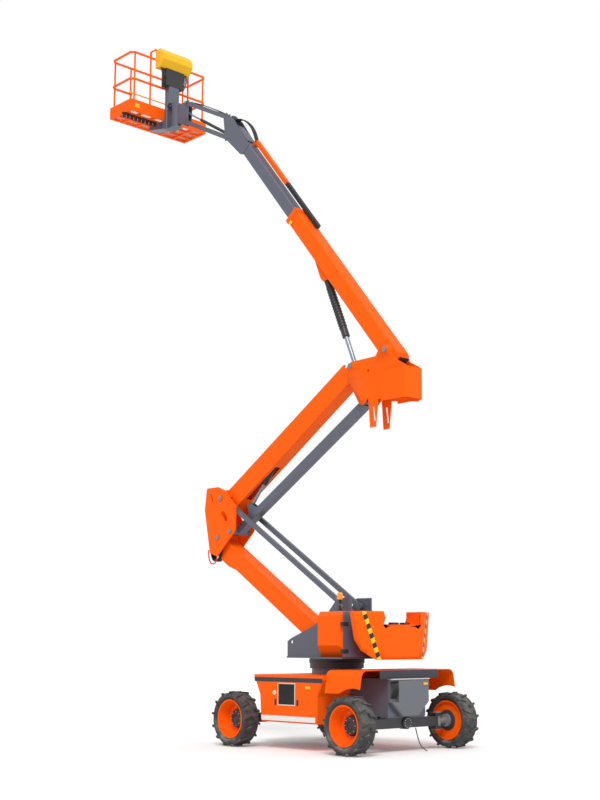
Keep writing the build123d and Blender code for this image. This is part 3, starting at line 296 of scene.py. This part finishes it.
def slab(outline, thickness, bevel=0.003):
    """A bevelled plate from a flat outline, thick along its local Z."""
    build = bmesh.new()
    face = build.faces.new([build.verts.new((x, y, 0)) for x, y in outline])
    lifted = bmesh.ops.extrude_face_region(build, geom=[face])
    top = [item for item in lifted["geom"] if isinstance(item, bmesh.types.BMVert)]
    bmesh.ops.translate(build, vec=(0, 0, thickness), verts=top)
    bmesh.ops.recalc_face_normals(build, faces=build.faces[:])
    if bevel:
        bmesh.ops.bevel(build, geom=build.edges[:], offset=bevel, segments=2, affect="EDGES", profile=0.6)
    mesh = bpy.data.meshes.new("slab")
    build.to_mesh(mesh)
    build.free()
    return mesh


def turned(profile, segments=32):
    """A closed turned body about local Z from (radius, height) pairs, the first and last on the axis."""
    build = bmesh.new()
    rings = []
    for radius, height in profile:
        count = segments if radius else 1
        steps = [2 * math.pi * i / count for i in range(count)]
        rings.append([
            build.verts.new((radius * math.cos(step), radius * math.sin(step), height)) for step in steps
        ])
    for near, far in zip(rings, rings[1:]):
        for i in range(segments):
            j = (i + 1) % segments
            corners = [near[i % len(near)], near[j % len(near)], far[j % len(far)], far[i % len(far)]]
            build.faces.new(list(dict.fromkeys(corners)))
    bmesh.ops.recalc_face_normals(build, faces=build.faces[:])
    mesh = bpy.data.meshes.new("turned")
    build.to_mesh(mesh)
    build.free()
    return mesh


def aimed(mesh, origin, along):
    """The mesh with its local Z turned along a direction, and its origin moved to a point."""
    turn = Vector(along).to_track_quat("Z", "Y").to_matrix().to_4x4()
    mesh.transform(Matrix.Translation(Vector(origin)) @ turn)
    return mesh


def hose(points, radius):
    """A round hose along a smooth line that is held at both ends."""
    line = bpy.data.curves.new("hose", "CURVE")
    line.dimensions = "3D"
    line.resolution_u = 10
    line.bevel_depth = radius
    line.bevel_resolution = 3
    line.use_fill_caps = True
    run = line.splines.new("NURBS")
    run.points.add(len(points) - 1)
    for point, place in zip(run.points, points):
        point.co = (*place, 1)
    run.order_u = 3
    run.use_endpoint_u = True
    carrier = bpy.data.objects.new("hose", line)
    scene.collection.objects.link(carrier)
    depsgraph = bpy.context.evaluated_depsgraph_get()
    mesh = bpy.data.meshes.new_from_object(carrier.evaluated_get(depsgraph))
    bpy.data.objects.remove(carrier)
    bpy.data.curves.remove(line)
    return mesh


def grower(name, inputs):
    """A Geometry Nodes tree with named inputs, as (type, name, default), and its input and output nodes."""
    tree = bpy.data.node_groups.new(name, "GeometryNodeTree")
    for kind, label, default in inputs:
        socket = tree.interface.new_socket(label, in_out="INPUT", socket_type=kind)
        if default is not None:
            socket.default_value = default
    tree.interface.new_socket("Finish", in_out="INPUT", socket_type="NodeSocketMaterial")
    tree.interface.new_socket("Mesh", in_out="OUTPUT", socket_type="NodeSocketGeometry")
    source, result = tree.nodes.new("NodeGroupInput"), tree.nodes.new("NodeGroupOutput")
    real = tree.nodes.new("GeometryNodeRealizeInstances")
    dress = tree.nodes.new("GeometryNodeSetMaterial")
    tree.links.new(real.outputs[0], dress.inputs["Geometry"])
    tree.links.new(source.outputs["Finish"], dress.inputs["Material"])
    tree.links.new(dress.outputs[0], result.inputs["Mesh"])
    return tree, source, real


def grown(tree, **values):
    """The plain mesh that a tree makes with these values."""
    seed = bpy.data.objects.new("seed", bpy.data.meshes.new("seed"))
    scene.collection.objects.link(seed)
    modifier = seed.modifiers.new("grow", "NODES")
    modifier.node_group = tree
    for item in tree.interface.items_tree:
        if item.item_type == "SOCKET" and item.in_out == "INPUT" and item.name.replace(" ", "_") in values:
            modifier[item.identifier] = values[item.name.replace(" ", "_")]
    depsgraph = bpy.context.evaluated_depsgraph_get()
    mesh = bpy.data.meshes.new_from_object(seed.evaluated_get(depsgraph))
    bpy.data.objects.remove(seed)
    return mesh


def bolt_ring_tree():
    """Hexagon heads evenly round a circle, their feet in the local XY plane."""
    tree, source, real = grower("bolt_ring", [
        ("NodeSocketInt", "Count", 8), ("NodeSocketFloat", "Circle", 0.1),
        ("NodeSocketFloat", "Head", 0.012), ("NodeSocketFloat", "Rise", 0.012),
    ])
    new, link = tree.nodes.new, tree.links.new
    circle = new("GeometryNodeMeshCircle")
    link(source.outputs["Count"], circle.inputs["Vertices"])
    link(source.outputs["Circle"], circle.inputs["Radius"])
    head = new("GeometryNodeMeshCylinder")
    head.inputs["Vertices"].default_value = 6
    link(source.outputs["Head"], head.inputs["Radius"])
    link(source.outputs["Rise"], head.inputs["Depth"])
    spread = new("GeometryNodeInstanceOnPoints")
    link(circle.outputs["Mesh"], spread.inputs["Points"])
    link(head.outputs["Mesh"], spread.inputs["Instance"])
    link(spread.outputs["Instances"], real.inputs[0])
    return tree


bolt_ring = bolt_ring_tree()

slate = coated("slate_enamel", (0.088, 0.098, 0.135), 0.4, coat=0.12)
black = coated("black_enamel", (0.020, 0.021, 0.025), 0.42, dust=0.12)
cast = coated("grey_casting", (0.20, 0.21, 0.22), 0.55, dust=0.2, bump=0.08)
bolt_steel = coated("zinc_bolts", (0.45, 0.45, 0.44), 0.35, metallic=0.9, dust=0.1)
finish(slate, "chassis_frame")
finish(black, "front_axle", "rear_axle")
finish(cast, "steer_knuckle_left", "steer_knuckle_right")

rear_axle_x = joints["steer_left"]["pos_m"][0]
axle_z = joints["steer_left"]["pos_m"][2]
# differential case and its cover bolts in the middle of the rear beam
case = turned([(0, -0.06), (0.085, -0.06), (0.09, -0.05), (0.09, 0.08), (0.08, 0.09), (0, 0.09)])
fitted("axle_case", aimed(case, (rear_axle_x - 0.01, 0, axle_z), (-1, 0, 0)), black, "chassis")
case_bolts = grown(bolt_ring, Count=10, Circle=0.065, Head=0.008, Rise=0.012, Finish=bolt_steel)
case_bolts = aimed(case_bolts, (rear_axle_x - 0.102, 0, axle_z), (-1, 0, 0))
fitted("axle_case_bolts", case_bolts, bolt_steel, "chassis")
fork_half = 0.115               # fork's outer face above the axle's line
for name in ("left", "right"):
    pin_x, pin_y = joints[f"steer_{name}"]["pos_m"][:2]
    caps = []
    for side in (1, -1):
        cap = turned([(0, 0), (0.05, 0), (0.05, 0.012), (0.038, 0.02), (0, 0.02)])
        caps.append(aimed(cap, (pin_x, pin_y, axle_z + side * fork_half), (0, 0, side)))
    fitted(f"kingpin_caps_{name}", gathered(*caps), cast, "chassis")

# Wheels: lugged rubber tyres on dished steel rims, with a black hub and a ring of nuts on each.
# The tread carries dust in patches.
rubber = coated("tyre_rubber", (0.030, 0.030, 0.032), 0.72, dust=0.55, scale=11.0, bump=0.25)
orange = coated("orange_enamel", (1.0, 0.120, 0.0008), 0.42, dust=0.03, specular=0.1)
hub_black = coated("hub_black", (0.014, 0.014, 0.016), 0.45, dust=0.25)
disc_depth = 0.078              # rim disc's outer face behind the tyre's centre plane
for name, hand in (("front_left", 1), ("front_right", -1), ("rear_left", 1), ("rear_right", -1)):
    finish(rubber, f"tyre_{name}")
    finish(orange, f"rim_{name}")
    centre = Vector(joints[f"spin_{name}"]["pos_m"])
    outward = Vector((0, hand, 0))
    hub = turned([
        (0, -0.004), (0.045, -0.004), (0.055, -0.012), (0.060, 0.0), (0.085, -0.004), (0.125, -0.012),
        (0.140, -0.03), (0.152, -disc_depth + 0.008), (0.140, -disc_depth - 0.02),
        (0, -disc_depth - 0.02),
    ])
    inner = turned([
        (0, -0.13), (0.06, -0.13), (0.115, -0.125), (0.15, -0.118), (0.155, -0.105), (0.13, -0.09), (0, -0.09),
    ])
    body = f"wheel_{name}"
    fitted(f"hub_{name}", aimed(gathered(hub, inner), centre, outward), hub_black, body)
    nuts = grown(bolt_ring, Count=10, Circle=0.182, Head=0.014, Rise=0.022, Finish=bolt_steel)
    nuts = aimed(nuts, centre - outward * (disc_depth - 0.012), outward)
    fitted(f"wheel_nuts_{name}", nuts, bolt_steel, body)
    cap_bolts = grown(bolt_ring, Count=8, Circle=0.104, Head=0.009, Rise=0.010, Finish=bolt_steel)
    cap_bolts = aimed(cap_bolts, centre - outward * 0.006, outward)
    fitted(f"hub_bolts_{name}", cap_bolts, bolt_steel, body)


# Side covers: folded sheet boxes over the battery packs, each with a framed vent, latches and a lamp.
# A white stripe is painted along the sill, and a dark band stands under the deck's edge.
def net_tree():
    """A flat net of round wires, centred in the local XY plane."""
    tree, source, real = grower("net", [
        ("NodeSocketFloat", "Length", 1.0), ("NodeSocketFloat", "Width", 1.0),
        ("NodeSocketFloat", "Pitch", 0.05), ("NodeSocketFloat", "Wire", 0.002),
    ])
    new, link = tree.nodes.new, tree.links.new
    sheet = new("GeometryNodeMeshGrid")
    for label, axis in (("Length", "X"), ("Width", "Y")):
        link(source.outputs[label], sheet.inputs[f"Size {axis}"])
        share = new("ShaderNodeMath")
        share.operation = "DIVIDE"
        link(source.outputs[label], share.inputs[0])
        link(source.outputs["Pitch"], share.inputs[1])
        more = new("ShaderNodeMath")
        more.operation = "ADD"
        more.inputs[1].default_value = 1.5
        link(share.outputs[0], more.inputs[0])
        link(more.outputs[0], sheet.inputs[f"Vertices {axis}"])
    lines = new("GeometryNodeMeshToCurve")
    link(sheet.outputs["Mesh"], lines.inputs["Mesh"])
    ring = new("GeometryNodeCurvePrimitiveCircle")
    ring.inputs["Resolution"].default_value = 4
    link(source.outputs["Wire"], ring.inputs["Radius"])
    wires = new("GeometryNodeCurveToMesh")
    link(lines.outputs["Curve"], wires.inputs["Curve"])
    link(ring.outputs["Curve"], wires.inputs["Profile Curve"])
    link(wires.outputs["Mesh"], real.inputs[0])
    return tree


net = net_tree()
sill_white = coated("white_stripe", (0.82, 0.82, 0.80), 0.4, dust=0.06)
vent_frame = coated("vent_frame", (0.62, 0.58, 0.55), 0.4, dust=0.1)
trim_black = coated("black_trim", (0.016, 0.016, 0.018), 0.5, dust=0.1)
lamp_amber = coated("amber_lamp", (1.0, 0.48, 0.02), 0.2, dust=0.0)
pale_fitting = coated("pale_fitting", (0.62, 0.68, 0.52), 0.35, dust=0.0)
finish(orange, "side_cover_left", "side_cover_right")
finish(trim_black, "battery_pack_left", "battery_pack_right")
face_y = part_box("side_cover_left")[1].y
vent_x, vent_z = -0.011, 0.816
vent_length, vent_height, vent_rim = 0.362, 0.300, 0.016
w, h = vent_length / 2, vent_height / 2
inset = 0.001                   # the dark backing stays this far inside the frame
for name, hand in (("left", 1), ("right", -1)):
    def on_side(low_x, high_x, low_z, high_z, depth_in, depth_out):
        """Opposite corners of a block on this side's face."""
        return ((low_x, hand * (face_y - depth_in), low_z), (high_x, hand * (face_y + depth_out), high_z))

    stripe = blocks([on_side(-0.645, 0.555, 0.424, 0.498, 0.001, 0.0012)], 0)
    fitted(f"sill_stripe_{name}", stripe, sill_white, "chassis")
    near_x, far_x, low_z, high_z = vent_x - w, vent_x + w, vent_z - h, vent_z + h
    frame_bars = blocks([
        on_side(near_x - vent_rim, far_x + vent_rim, high_z, high_z + vent_rim, 0.002, 0.005),
        on_side(near_x - vent_rim, far_x + vent_rim, low_z - vent_rim, low_z, 0.002, 0.005),
        on_side(near_x - vent_rim, near_x, low_z, high_z, 0.002, 0.005),
        on_side(far_x, far_x + vent_rim, low_z, high_z, 0.002, 0.005),
    ], 0.002)
    fitted(f"vent_frame_{name}", frame_bars, vent_frame, "chassis")
    screen = grown(
        net, Length=vent_length - 0.004, Width=vent_height - 0.004, Pitch=0.0145, Wire=0.0022, Finish=trim_black,
    )
    corners = [(x * (w - inset), y * (h - inset)) for x, y in ((-1, -1), (1, -1), (1, 1), (-1, 1))]
    backing = slab(corners, 0.002, 0)
    screen.transform(Matrix.Translation((0, 0, 0.008)))
    screen = gathered(screen, backing)
    stands = Matrix.Rotation(-hand * math.pi / 2, 4, "X")
    screen.transform(Matrix.Translation((vent_x, hand * (face_y - 0.017), vent_z)) @ stands)
    fitted(f"vent_screen_{name}", screen, trim_black, "chassis")
    latches = blocks([
        on_side(near_x - 0.085, near_x - 0.055, low_z - 0.01, low_z + 0.075, 0.002, 0.014),
        on_side(far_x + 0.045, far_x + 0.075, low_z - 0.01, low_z + 0.075, 0.002, 0.014),
    ], 0.005)
    fitted(f"cover_latches_{name}", latches, trim_black, "chassis")
    lamp = blocks([on_side(-0.545, -0.445, 0.900, 0.945, 0.002, 0.018)], 0.008)
    fitted(f"side_lamp_{name}", lamp, lamp_amber, "chassis")
    fitting = aimed(
        turned([(0, 0), (0.034, 0), (0.036, 0.008), (0.026, 0.016), (0, 0.018)]),
        (far_x + 0.085, hand * (face_y - 0.001), vent_z + 0.02), (0, hand, 0),
    )
    fitted(f"charge_fitting_{name}", fitting, pale_fitting, "chassis")


# Deck, fenders and end cover: bent sheet bolted over the frame, in the body's orange with a dark band.
# The end cover closes the frame's rear and has a niche where hoses come out.
cover_grey = coated("cover_grey", (0.125, 0.135, 0.155), 0.45, dust=0.12)
navy = coated("navy_band", (0.018, 0.020, 0.034), 0.42, dust=0.08)
hose_black = coated("hose_rubber", (0.015, 0.015, 0.016), 0.55, dust=0.1)
finish(orange, "deck", "fender_shell")
finish(cover_grey, "end_cover")
deck_low, deck_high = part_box("deck")
shell_low, shell_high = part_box("fender_shell")
end_low, end_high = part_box("end_cover")
bands = blocks([
    ((deck_low.x + 0.01, hand * (face_y - 0.001), 0.996), (deck_high.x - 0.01, hand * (face_y + 0.002), 1.060))
    for hand in (1, -1)
], 0)
fitted("deck_band", bands, navy, "chassis")
valance = blocks([((shell_low.x - 0.008, -0.62, 1.062), (shell_low.x + 0.002, 0.62, shell_high.z - 0.002))], 0.003)
fitted("rear_valance", valance, navy, "chassis")
# Painted highlight: the end cover's top lip is light grey, standing in for the light on the cover's top edge.
highlit_lip = blocks([
    ((end_low.x - 0.006, end_low.y, end_high.z - 0.004), (end_high.x, end_high.y, end_high.z + 0.010)),
], 0.003)
fitted("end_cover_lip", highlit_lip, vent_frame, "chassis")
reflector = blocks([((end_low.x - 0.006, -0.36, 0.965), (end_low.x + 0.001, -0.27, 0.995))], 0.002)
fitted("rear_reflector", reflector, lamp_amber, "chassis")
niche_hoses = [
    hose([
        (end_high.x - 0.02, y, 1.02), (end_low.x - 0.01, y, 0.97), (end_low.x - 0.015, y - 0.01, 0.86),
        (end_high.x - 0.02, y, 0.76),
    ], 0.011)
    for y in (0.29, 0.32, 0.35, 0.38)
]
fitted("niche_hoses", gathered(*niche_hoses), hose_black, "chassis")
strap = hose([
    (rear_axle_x - 0.06, -0.21, 0.34), (rear_axle_x - 0.10, -0.21, 0.2), (rear_axle_x - 0.16, -0.22, 0.06),
    (rear_axle_x - 0.24, -0.26, 0.014),
], 0.008)
fitted("static_strap", strap, hose_black, "chassis")

# Turntable: slate floor frame and tower plates on a black slewing ring, with a skirt that turns along.
# Hexagon bolts clamp the ring to the frame.
slew_low, slew_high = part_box("slew_ring")
slew_radius = slew_high.x
finish(black, "slew_ring")
finish(slate, "turntable_frame", "tower_plate_left", "tower_plate_right")
finish(trim_black, "saddle_pads")
turn_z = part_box("turntable_frame")[0].z
skirt_radius, skirt_foot, skirt_top = slew_radius + 0.012, turn_z + 0.004, turn_z + 0.072
skirt = turned([(0, skirt_foot), (skirt_radius, skirt_foot), (skirt_radius, skirt_top), (0, skirt_top)], 64)
fitted("slew_skirt", skirt, trim_black, "turntable")
ring_bolts = grown(bolt_ring, Count=28, Circle=slew_radius - 0.022, Head=0.011, Rise=0.016, Finish=bolt_steel)
ring_bolts = aimed(ring_bolts, (0, 0, slew_low.z + 0.004), (0, 0, 1))
fitted("slew_bolts", ring_bolts, bolt_steel, "chassis")

# Hoods: orange sheet covers over the machinery, hinged at the rear beside slate bulkhead plates.
# A flashing lamp stands on a post on the left one, and the right one is lower.
def reshaped(name, move):
    """A merged copy of a CAD node's mesh, with every vertex put through move."""
    build = bmesh.new()
    build.from_mesh(nodes[name].data)
    build.transform(nodes[name].matrix_world)
    bmesh.ops.remove_doubles(build, verts=build.verts[:], dist=1e-5)
    for vert in build.verts:
        move(vert.co)
    bmesh.ops.recalc_face_normals(build, faces=build.faces[:])
    mesh = bpy.data.meshes.new("reshaped")
    build.to_mesh(mesh)
    build.free()
    return mesh


def lowered(place):
    """The hood's top comes down."""
    if place.z > 1.90:
        place.z -= hood_drop


finish(orange, "hood_left")
finish(trim_black, "beacon_post")
beacon = coated("beacon_amber", (1.0, 0.30, 0.005), 0.12, coat=0.6, dust=0.0, bump=0.0)
finish(beacon, "beacon_lens")
hood_low, hood_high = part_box("hood_left")
hood_drop = 0.22                # the right hood is this much lower than its solid
low_hood = fitted("hood_right_sheet", reshaped("hood_right", lowered), orange, "turntable")
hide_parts("hood_right")
hinges = blocks([
    ((hood_low.x - 0.022, hand * 0.69, z - 0.03), (hood_low.x + 0.035, hand * (hood_high.y + 0.006), z + 0.03))
    for hand, z in ((1, 1.45), (1, 1.85), (-1, 1.45), (-1, 1.70))
], 0.004)
fitted("hood_hinges", hinges, trim_black, "turntable")
bulkheads = blocks([
    (
        (hood_low.x - 0.018, hand * (hood_low.y + 0.002), hood_low.z),
        (hood_low.x - 0.006, hand * (hood_high.y - 0.008), hood_high.z - drop),
    )
    for hand, drop in ((1, 0.008), (-1, 0.008 + hood_drop))
], 0.003)
fitted("hood_bulkheads", bulkheads, slate, "turntable")
post_low, post_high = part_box("beacon_post")
post_x, post_y = (post_low.x + post_high.x) / 2, (post_low.y + post_high.y) / 2
clamps = [
    aimed(turned([(0, 0), (0.030, 0), (0.030, 0.02), (0, 0.02)]), (post_x, post_y, hood_high.z + rise), (0, 0, 1))
    for rise in (0.001, 0.10)
]
fitted("beacon_clamps", gathered(*clamps), cover_grey, "turntable")

# Counterweight: one iron casting at the tail, enamelled orange, with warning bands down both chamfers.
# Its middle is open at the top, where the stowed boom comes down on black pads.
notch_shift = 0.15              # each side of the notch, outwards


def widened(place):
    """The sides of the notch move outwards."""
    if 0.15 < abs(place.y) < 0.34 and place.z > 1.80:
        place.y += math.copysign(notch_shift, place.y)


weight_mesh = reshaped("counterweight", widened)
weight = fitted("counterweight_casting", weight_mesh, orange, "turntable")
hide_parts("counterweight")
hazard = coated("warning_stripes", (1, 1, 1), 0.4, dust=0.0)
stripes = hazard.node_tree
where = stripes.nodes.new("ShaderNodeTexCoord")
along = stripes.nodes.new("ShaderNodeVectorMath")
along.operation = "DOT_PRODUCT"
along.inputs[1].default_value = (6.5, 0.0, 6.5)
wave = stripes.nodes.new("ShaderNodeMath")
wave.operation = "FRACT"
over_half = stripes.nodes.new("ShaderNodeMath")
over_half.operation = "GREATER_THAN"
over_half.inputs[1].default_value = 0.5
two = stripes.nodes.new("ShaderNodeMix")
two.data_type = "RGBA"
two.inputs[6].default_value = (0.015, 0.015, 0.015, 1)
two.inputs[7].default_value = (0.90, 0.55, 0.01, 1)
stripes.links.new(where.outputs["Object"], along.inputs[0])
stripes.links.new(along.outputs["Value"], wave.inputs[0])
stripes.links.new(wave.outputs[0], over_half.inputs[0])
stripes.links.new(over_half.outputs[0], two.inputs[0])
stripes.links.new(two.outputs[2], stripes.nodes["over"].inputs["Colour"])
top_edge = (Vector((-1.21, 0.81, 2.03)), Vector((-1.41, 0.48, 2.03)))
low_edge = (Vector((-1.245, 0.69, 1.335)), Vector((-1.395, 0.42, 1.335)))
half_band, band_skin = 0.033, 0.004
for name, hand in (("left", 1), ("right", -1)):
    build = bmesh.new()
    rings = []
    for edge, middle in ((low_edge, 0.84), (top_edge, 0.37)):
        width = (edge[1] - edge[0]).length
        outward = Vector((edge[1] - edge[0]).cross(Vector((0, 0, 1)))).normalized()
        outward = outward if outward.x < 0 else -outward
        for share in (middle - half_band / width, min(0.97, middle + half_band / width)):
            place = edge[0].lerp(edge[1], share)
            for lift in (-band_skin, band_skin):
                spot = place + outward * lift
                rings.append(build.verts.new((spot.x, hand * spot.y, spot.z)))
    a, b, c, d, e, f, g, h = rings
    for corners in ((a, b, d, c), (e, f, h, g), (a, b, f, e), (c, d, h, g), (b, d, h, f), (a, c, g, e)):
        build.faces.new(corners)
    bmesh.ops.recalc_face_normals(build, faces=build.faces[:])
    band = bpy.data.meshes.new("band")
    build.to_mesh(band)
    build.free()
    fitted(f"warning_band_{name}", band, hazard, "turntable")

# Risers and links: box sections of welded plate, orange, with slate levelling links beside and above them.
# Steel pins join them, each held by a keeper cap with bolts.
finish(orange, "lower_riser", "mid_link", "upper_riser")
finish(slate, "lower_link_left", "lower_link_right", "upper_link")
pin_grey = coated("pin_cap", (0.24, 0.25, 0.27), 0.4, metallic=0.6, dust=0.1)


def pin_caps(name, pins, face, radius, body):
    """Caps and their bolts on both ends of pins, at a distance from the centre plane."""
    caps, heads = [], []
    for x, z in pins:
        for hand in (1, -1):
            cap = turned([(0, 0), (radius, 0), (radius, 0.008), (radius - 0.006, 0.012), (0, 0.012)])
            caps.append(aimed(cap, (x, hand * (face - 0.001), z), (0, hand, 0)))
            ring = grown(
                bolt_ring, Count=4, Circle=radius * 0.62, Head=radius * 0.16, Rise=0.012, Finish=bolt_steel,
            )
            heads.append(aimed(ring, (x, hand * (face + 0.011), z), (0, hand, 0)))
    fitted(f"{name}_caps", gathered(*caps), pin_grey, body)
    fitted(f"{name}_bolts", gathered(*heads), bolt_steel, body)


def pin_of(name):
    x, _, z = joints[name]["pos_m"]
    return x, z


tower_pins = [pin_of("riser_lift"), pin_of("lower_links_turn")]
pin_caps("tower_pin", tower_pins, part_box("tower_plate_left")[1].y, 0.048, "turntable")
mid_pins = [pin_of("mid_link_level"), pin_of("upper_riser_turn"), pin_of("upper_link_turn")]
pin_caps("mid_pin", mid_pins, 0.225, 0.042, "mid_link")
guard_red = coated("guard_red", (0.60, 0.03, 0.008), 0.4, dust=0.08)
guard = hose([
    (2.760, 0.200, 3.075), (2.765, 0.205, 2.96), (2.86, 0.205, 2.90), (2.99, 0.205, 2.97), (3.0, 0.200, 3.16),
], 0.011)
fitted("hose_guard", guard, guard_red, "mid_link")
bundle = [
    hose([(2.70, y, 3.20), (2.72, y, 3.02), (2.84, y, 2.95), (2.96, y, 3.02), (3.0, y, 3.30)], 0.013)
    for y in (0.08, 0.11, 0.14, 0.17)
]
fitted("mid_hoses", gathered(*bundle), hose_black, "mid_link")

# Knuckle: orange side plates with a sheet cover at the back, which carry the boom and the lift cylinder.
# The cover ends close behind the boom's tail.
shrink_from, shrink = -1.43, 0.48


def shortened(place):
    """The cover behind the plates is drawn in."""
    if place.x < shrink_from and place.z > 5.2:
        place.x = shrink_from + (place.x - shrink_from) * shrink


knuckle_mesh = reshaped("riser_knuckle", shortened)
knuckle = fitted("knuckle_weldment", knuckle_mesh, orange, "knuckle")
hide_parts("riser_knuckle")
plate_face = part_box("main_boom")[1].y + 0.022
pin_caps("knuckle_pin", [pin_of("knuckle_level"), pin_of("boom_lift")], plate_face, 0.044, "knuckle")

# Boom and fly: welded box tubes, the orange one outside and the slate one sliding in it on pads.
# Hoses run to the fly's head in a chain of links and then through an orange tray.
boom_pin = Vector(joints["boom_lift"]["pos_m"])
boom_run = Vector(joints["telescope"]["axis"])


def on_boom(mesh):
    """From along the boom, left and above it to the frame."""
    rise = Vector((-boom_run.z, 0, boom_run.x))
    turn = Matrix((
        (boom_run.x, 0, rise.x, boom_pin.x),
        (0, 1, 0, boom_pin.y),
        (boom_run.z, 0, rise.z, boom_pin.z),
        (0, 0, 0, 1),
    ))
    mesh.transform(turn)
    return mesh


def row_tree():
    """Blocks in a straight row."""
    tree, source, real = grower("row", [
        ("NodeSocketInt", "Count", 8), ("NodeSocketVector", "Step", (0.05, 0, 0)),
        ("NodeSocketVector", "Block", (0.04, 0.04, 0.04)),
    ])
    new, link = tree.nodes.new, tree.links.new
    line = new("GeometryNodeMeshLine")
    link(source.outputs["Count"], line.inputs["Count"])
    link(source.outputs["Step"], line.inputs["Offset"])
    block = new("GeometryNodeMeshCube")
    link(source.outputs["Block"], block.inputs["Size"])
    spread = new("GeometryNodeInstanceOnPoints")
    link(line.outputs["Mesh"], spread.inputs["Points"])
    link(block.outputs["Mesh"], spread.inputs["Instance"])
    link(spread.outputs["Instances"], real.inputs[0])
    return tree


finish(orange, "main_boom", "hose_tray")
finish(slate, "fly_boom")
finish(trim_black, "wear_pads", "drag_chain")
nylon_yellow = coated("pad_yellow", (0.90, 0.50, 0.02), 0.5, dust=0.0)
pad = on_boom(blocks([((3.33, 0.142, -0.12), (3.40, 0.156, -0.05))], 0.003))
fitted("mouth_block", pad, nylon_yellow, "boom")
tail_plate = on_boom(blocks([((-0.302, -0.105, -0.10), (-0.298, 0.105, 0.11))], 0))
fitted("boom_tail_plate", tail_plate, trim_black, "boom")
links = grown(row_tree(), Count=24, Step=(0.0518, 0, 0), Block=(0.040, 0.066, 0.070), Finish=trim_black)
links.transform(Matrix.Translation((2.98, -0.056, 0.192)))
fitted("chain_links", on_boom(links), trim_black, "fly")
head_hoses = [
    on_boom(hose([
        (5.48, y, 0.19), (5.62, y, 0.25), (5.85, y, 0.29), (6.10, y, 0.25), (6.26, y, 0.16), (6.30, y, 0.08),
    ], 0.010))
    for y in (-0.085, -0.06, -0.035, -0.01)
]
fitted("fly_head_hoses", gathered(*head_hoses), hose_black, "fly")

# Cylinders: black barrels with chromed rods, pinned in spherical eyes at both ends.
# A protective spiral is wound on the lift cylinder's barrel.
finish(black, "riser_cylinder_barrel", "lift_cylinder_barrel", "jib_cylinder_barrel")
chrome = coated("chromed_rod", (0.26, 0.30, 0.36), 0.28, metallic=0.55, dust=0.0, bump=0.0, specular=0.4)
finish(chrome, "riser_cylinder_rod", "lift_cylinder_rod", "jib_cylinder_rod")
lift_eye = Vector(joints["lift_cylinder_pivot"]["pos_m"])
wraps, wrap_radius, wrap_pitch, wrap_start = 15, 0.068, 0.055, 0.18
spiral = hose([
    (
        wrap_radius * math.cos(k * math.pi / 4), wrap_radius * math.sin(k * math.pi / 4),
        wrap_start + wrap_pitch * k / 8,
    )
    for k in range(wraps * 8 + 1)
], 0.007)
lift_run = (-0.3895, 0, -0.921)
fitted("barrel_spiral", aimed(spiral, lift_eye, lift_run), hose_black, "lift_barrel")

# Jib: two slate box arms in parallel between the fly's head and the platform's mount.
# Hoses lie along the upper arm in clips.
finish(slate, "jib_base", "jib_upper_arm", "jib_lower_arm", "jib_end", "platform_mount")
jib_pin = Vector(joints["jib_lift"]["pos_m"])
jib_far = Vector(joints["jib_end_level"]["pos_m"])
jib_run = (jib_far - jib_pin).normalized()
jib_rise = Vector((-jib_run.z, 0, jib_run.x))
hose_line = ((0.16, 0.035), (0.30, 0.056), (0.70, 0.060), (1.10, 0.056), (1.24, 0.035))  # along, above the arm
jib_hoses = [
    hose([jib_pin + jib_run * along + jib_rise * above + Vector((0, y, 0)) for along, above in hose_line], 0.009)
    for y in (-0.058, -0.038, 0.040, 0.060)
]
fitted("jib_hoses", gathered(*jib_hoses), hose_black, "jib_upper")
pin_caps("jib_end_pin", [pin_of("jib_end_level")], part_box("jib_end")[1].y, 0.030, "jib_end")

# Platform: an orange tube cage with kick plates over a floor of open mesh, on a slate mount.
# The console stands at its rear under a yellow cover, with its hoses on both sides.
finish(orange, "platform_frame")
finish(trim_black, "console_base", "toothed_bar")
yellow = coated("yellow_moulding", (0.92, 0.50, 0.008), 0.4, dust=0.04, specular=0.3)
finish(yellow, "console_cover", "entry_bar")
mesh_steel = coated("floor_mesh_steel", (0.52, 0.52, 0.52), 0.4, metallic=0.5, dust=0.1)
floor_low, floor_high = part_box("platform_floor")
floor_size_x, floor_size_y = floor_high.x - floor_low.x, floor_high.y - floor_low.y
wires = grown(net, Length=floor_size_x, Width=floor_size_y, Pitch=0.026, Wire=0.0026, Finish=mesh_steel)
wires.transform(Matrix.Translation((floor_low + floor_high) / 2))
mesh_floor = fitted("floor_wires", wires, mesh_steel, "platform")
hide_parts("platform_floor")
cover_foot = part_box("console_cover")[0]
for name, hand in (("left", 1), ("right", -1)):
    runs = [
        hose([
            (cover_foot.x + out, hand * (y - inwards), cover_foot.z + rise)
            for out, inwards, rise in ((0.15, 0, 0.01), (0.10, 0, -0.10), (0.13, 0.03, -0.24), (0.16, 0.06, -0.335))
        ], 0.010)
        for y in (0.24, 0.27, 0.30)
    ]
    fitted(f"console_hoses_{name}", gathered(*runs), hose_black, "platform")
cage_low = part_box("platform_frame")[0]
label = blocks([((cage_low.x - 0.0015, 0.70, 11.62), (cage_low.x + 0.001, 0.80, 11.70))], 0)
fitted("kick_label", label, nylon_yellow, "platform")
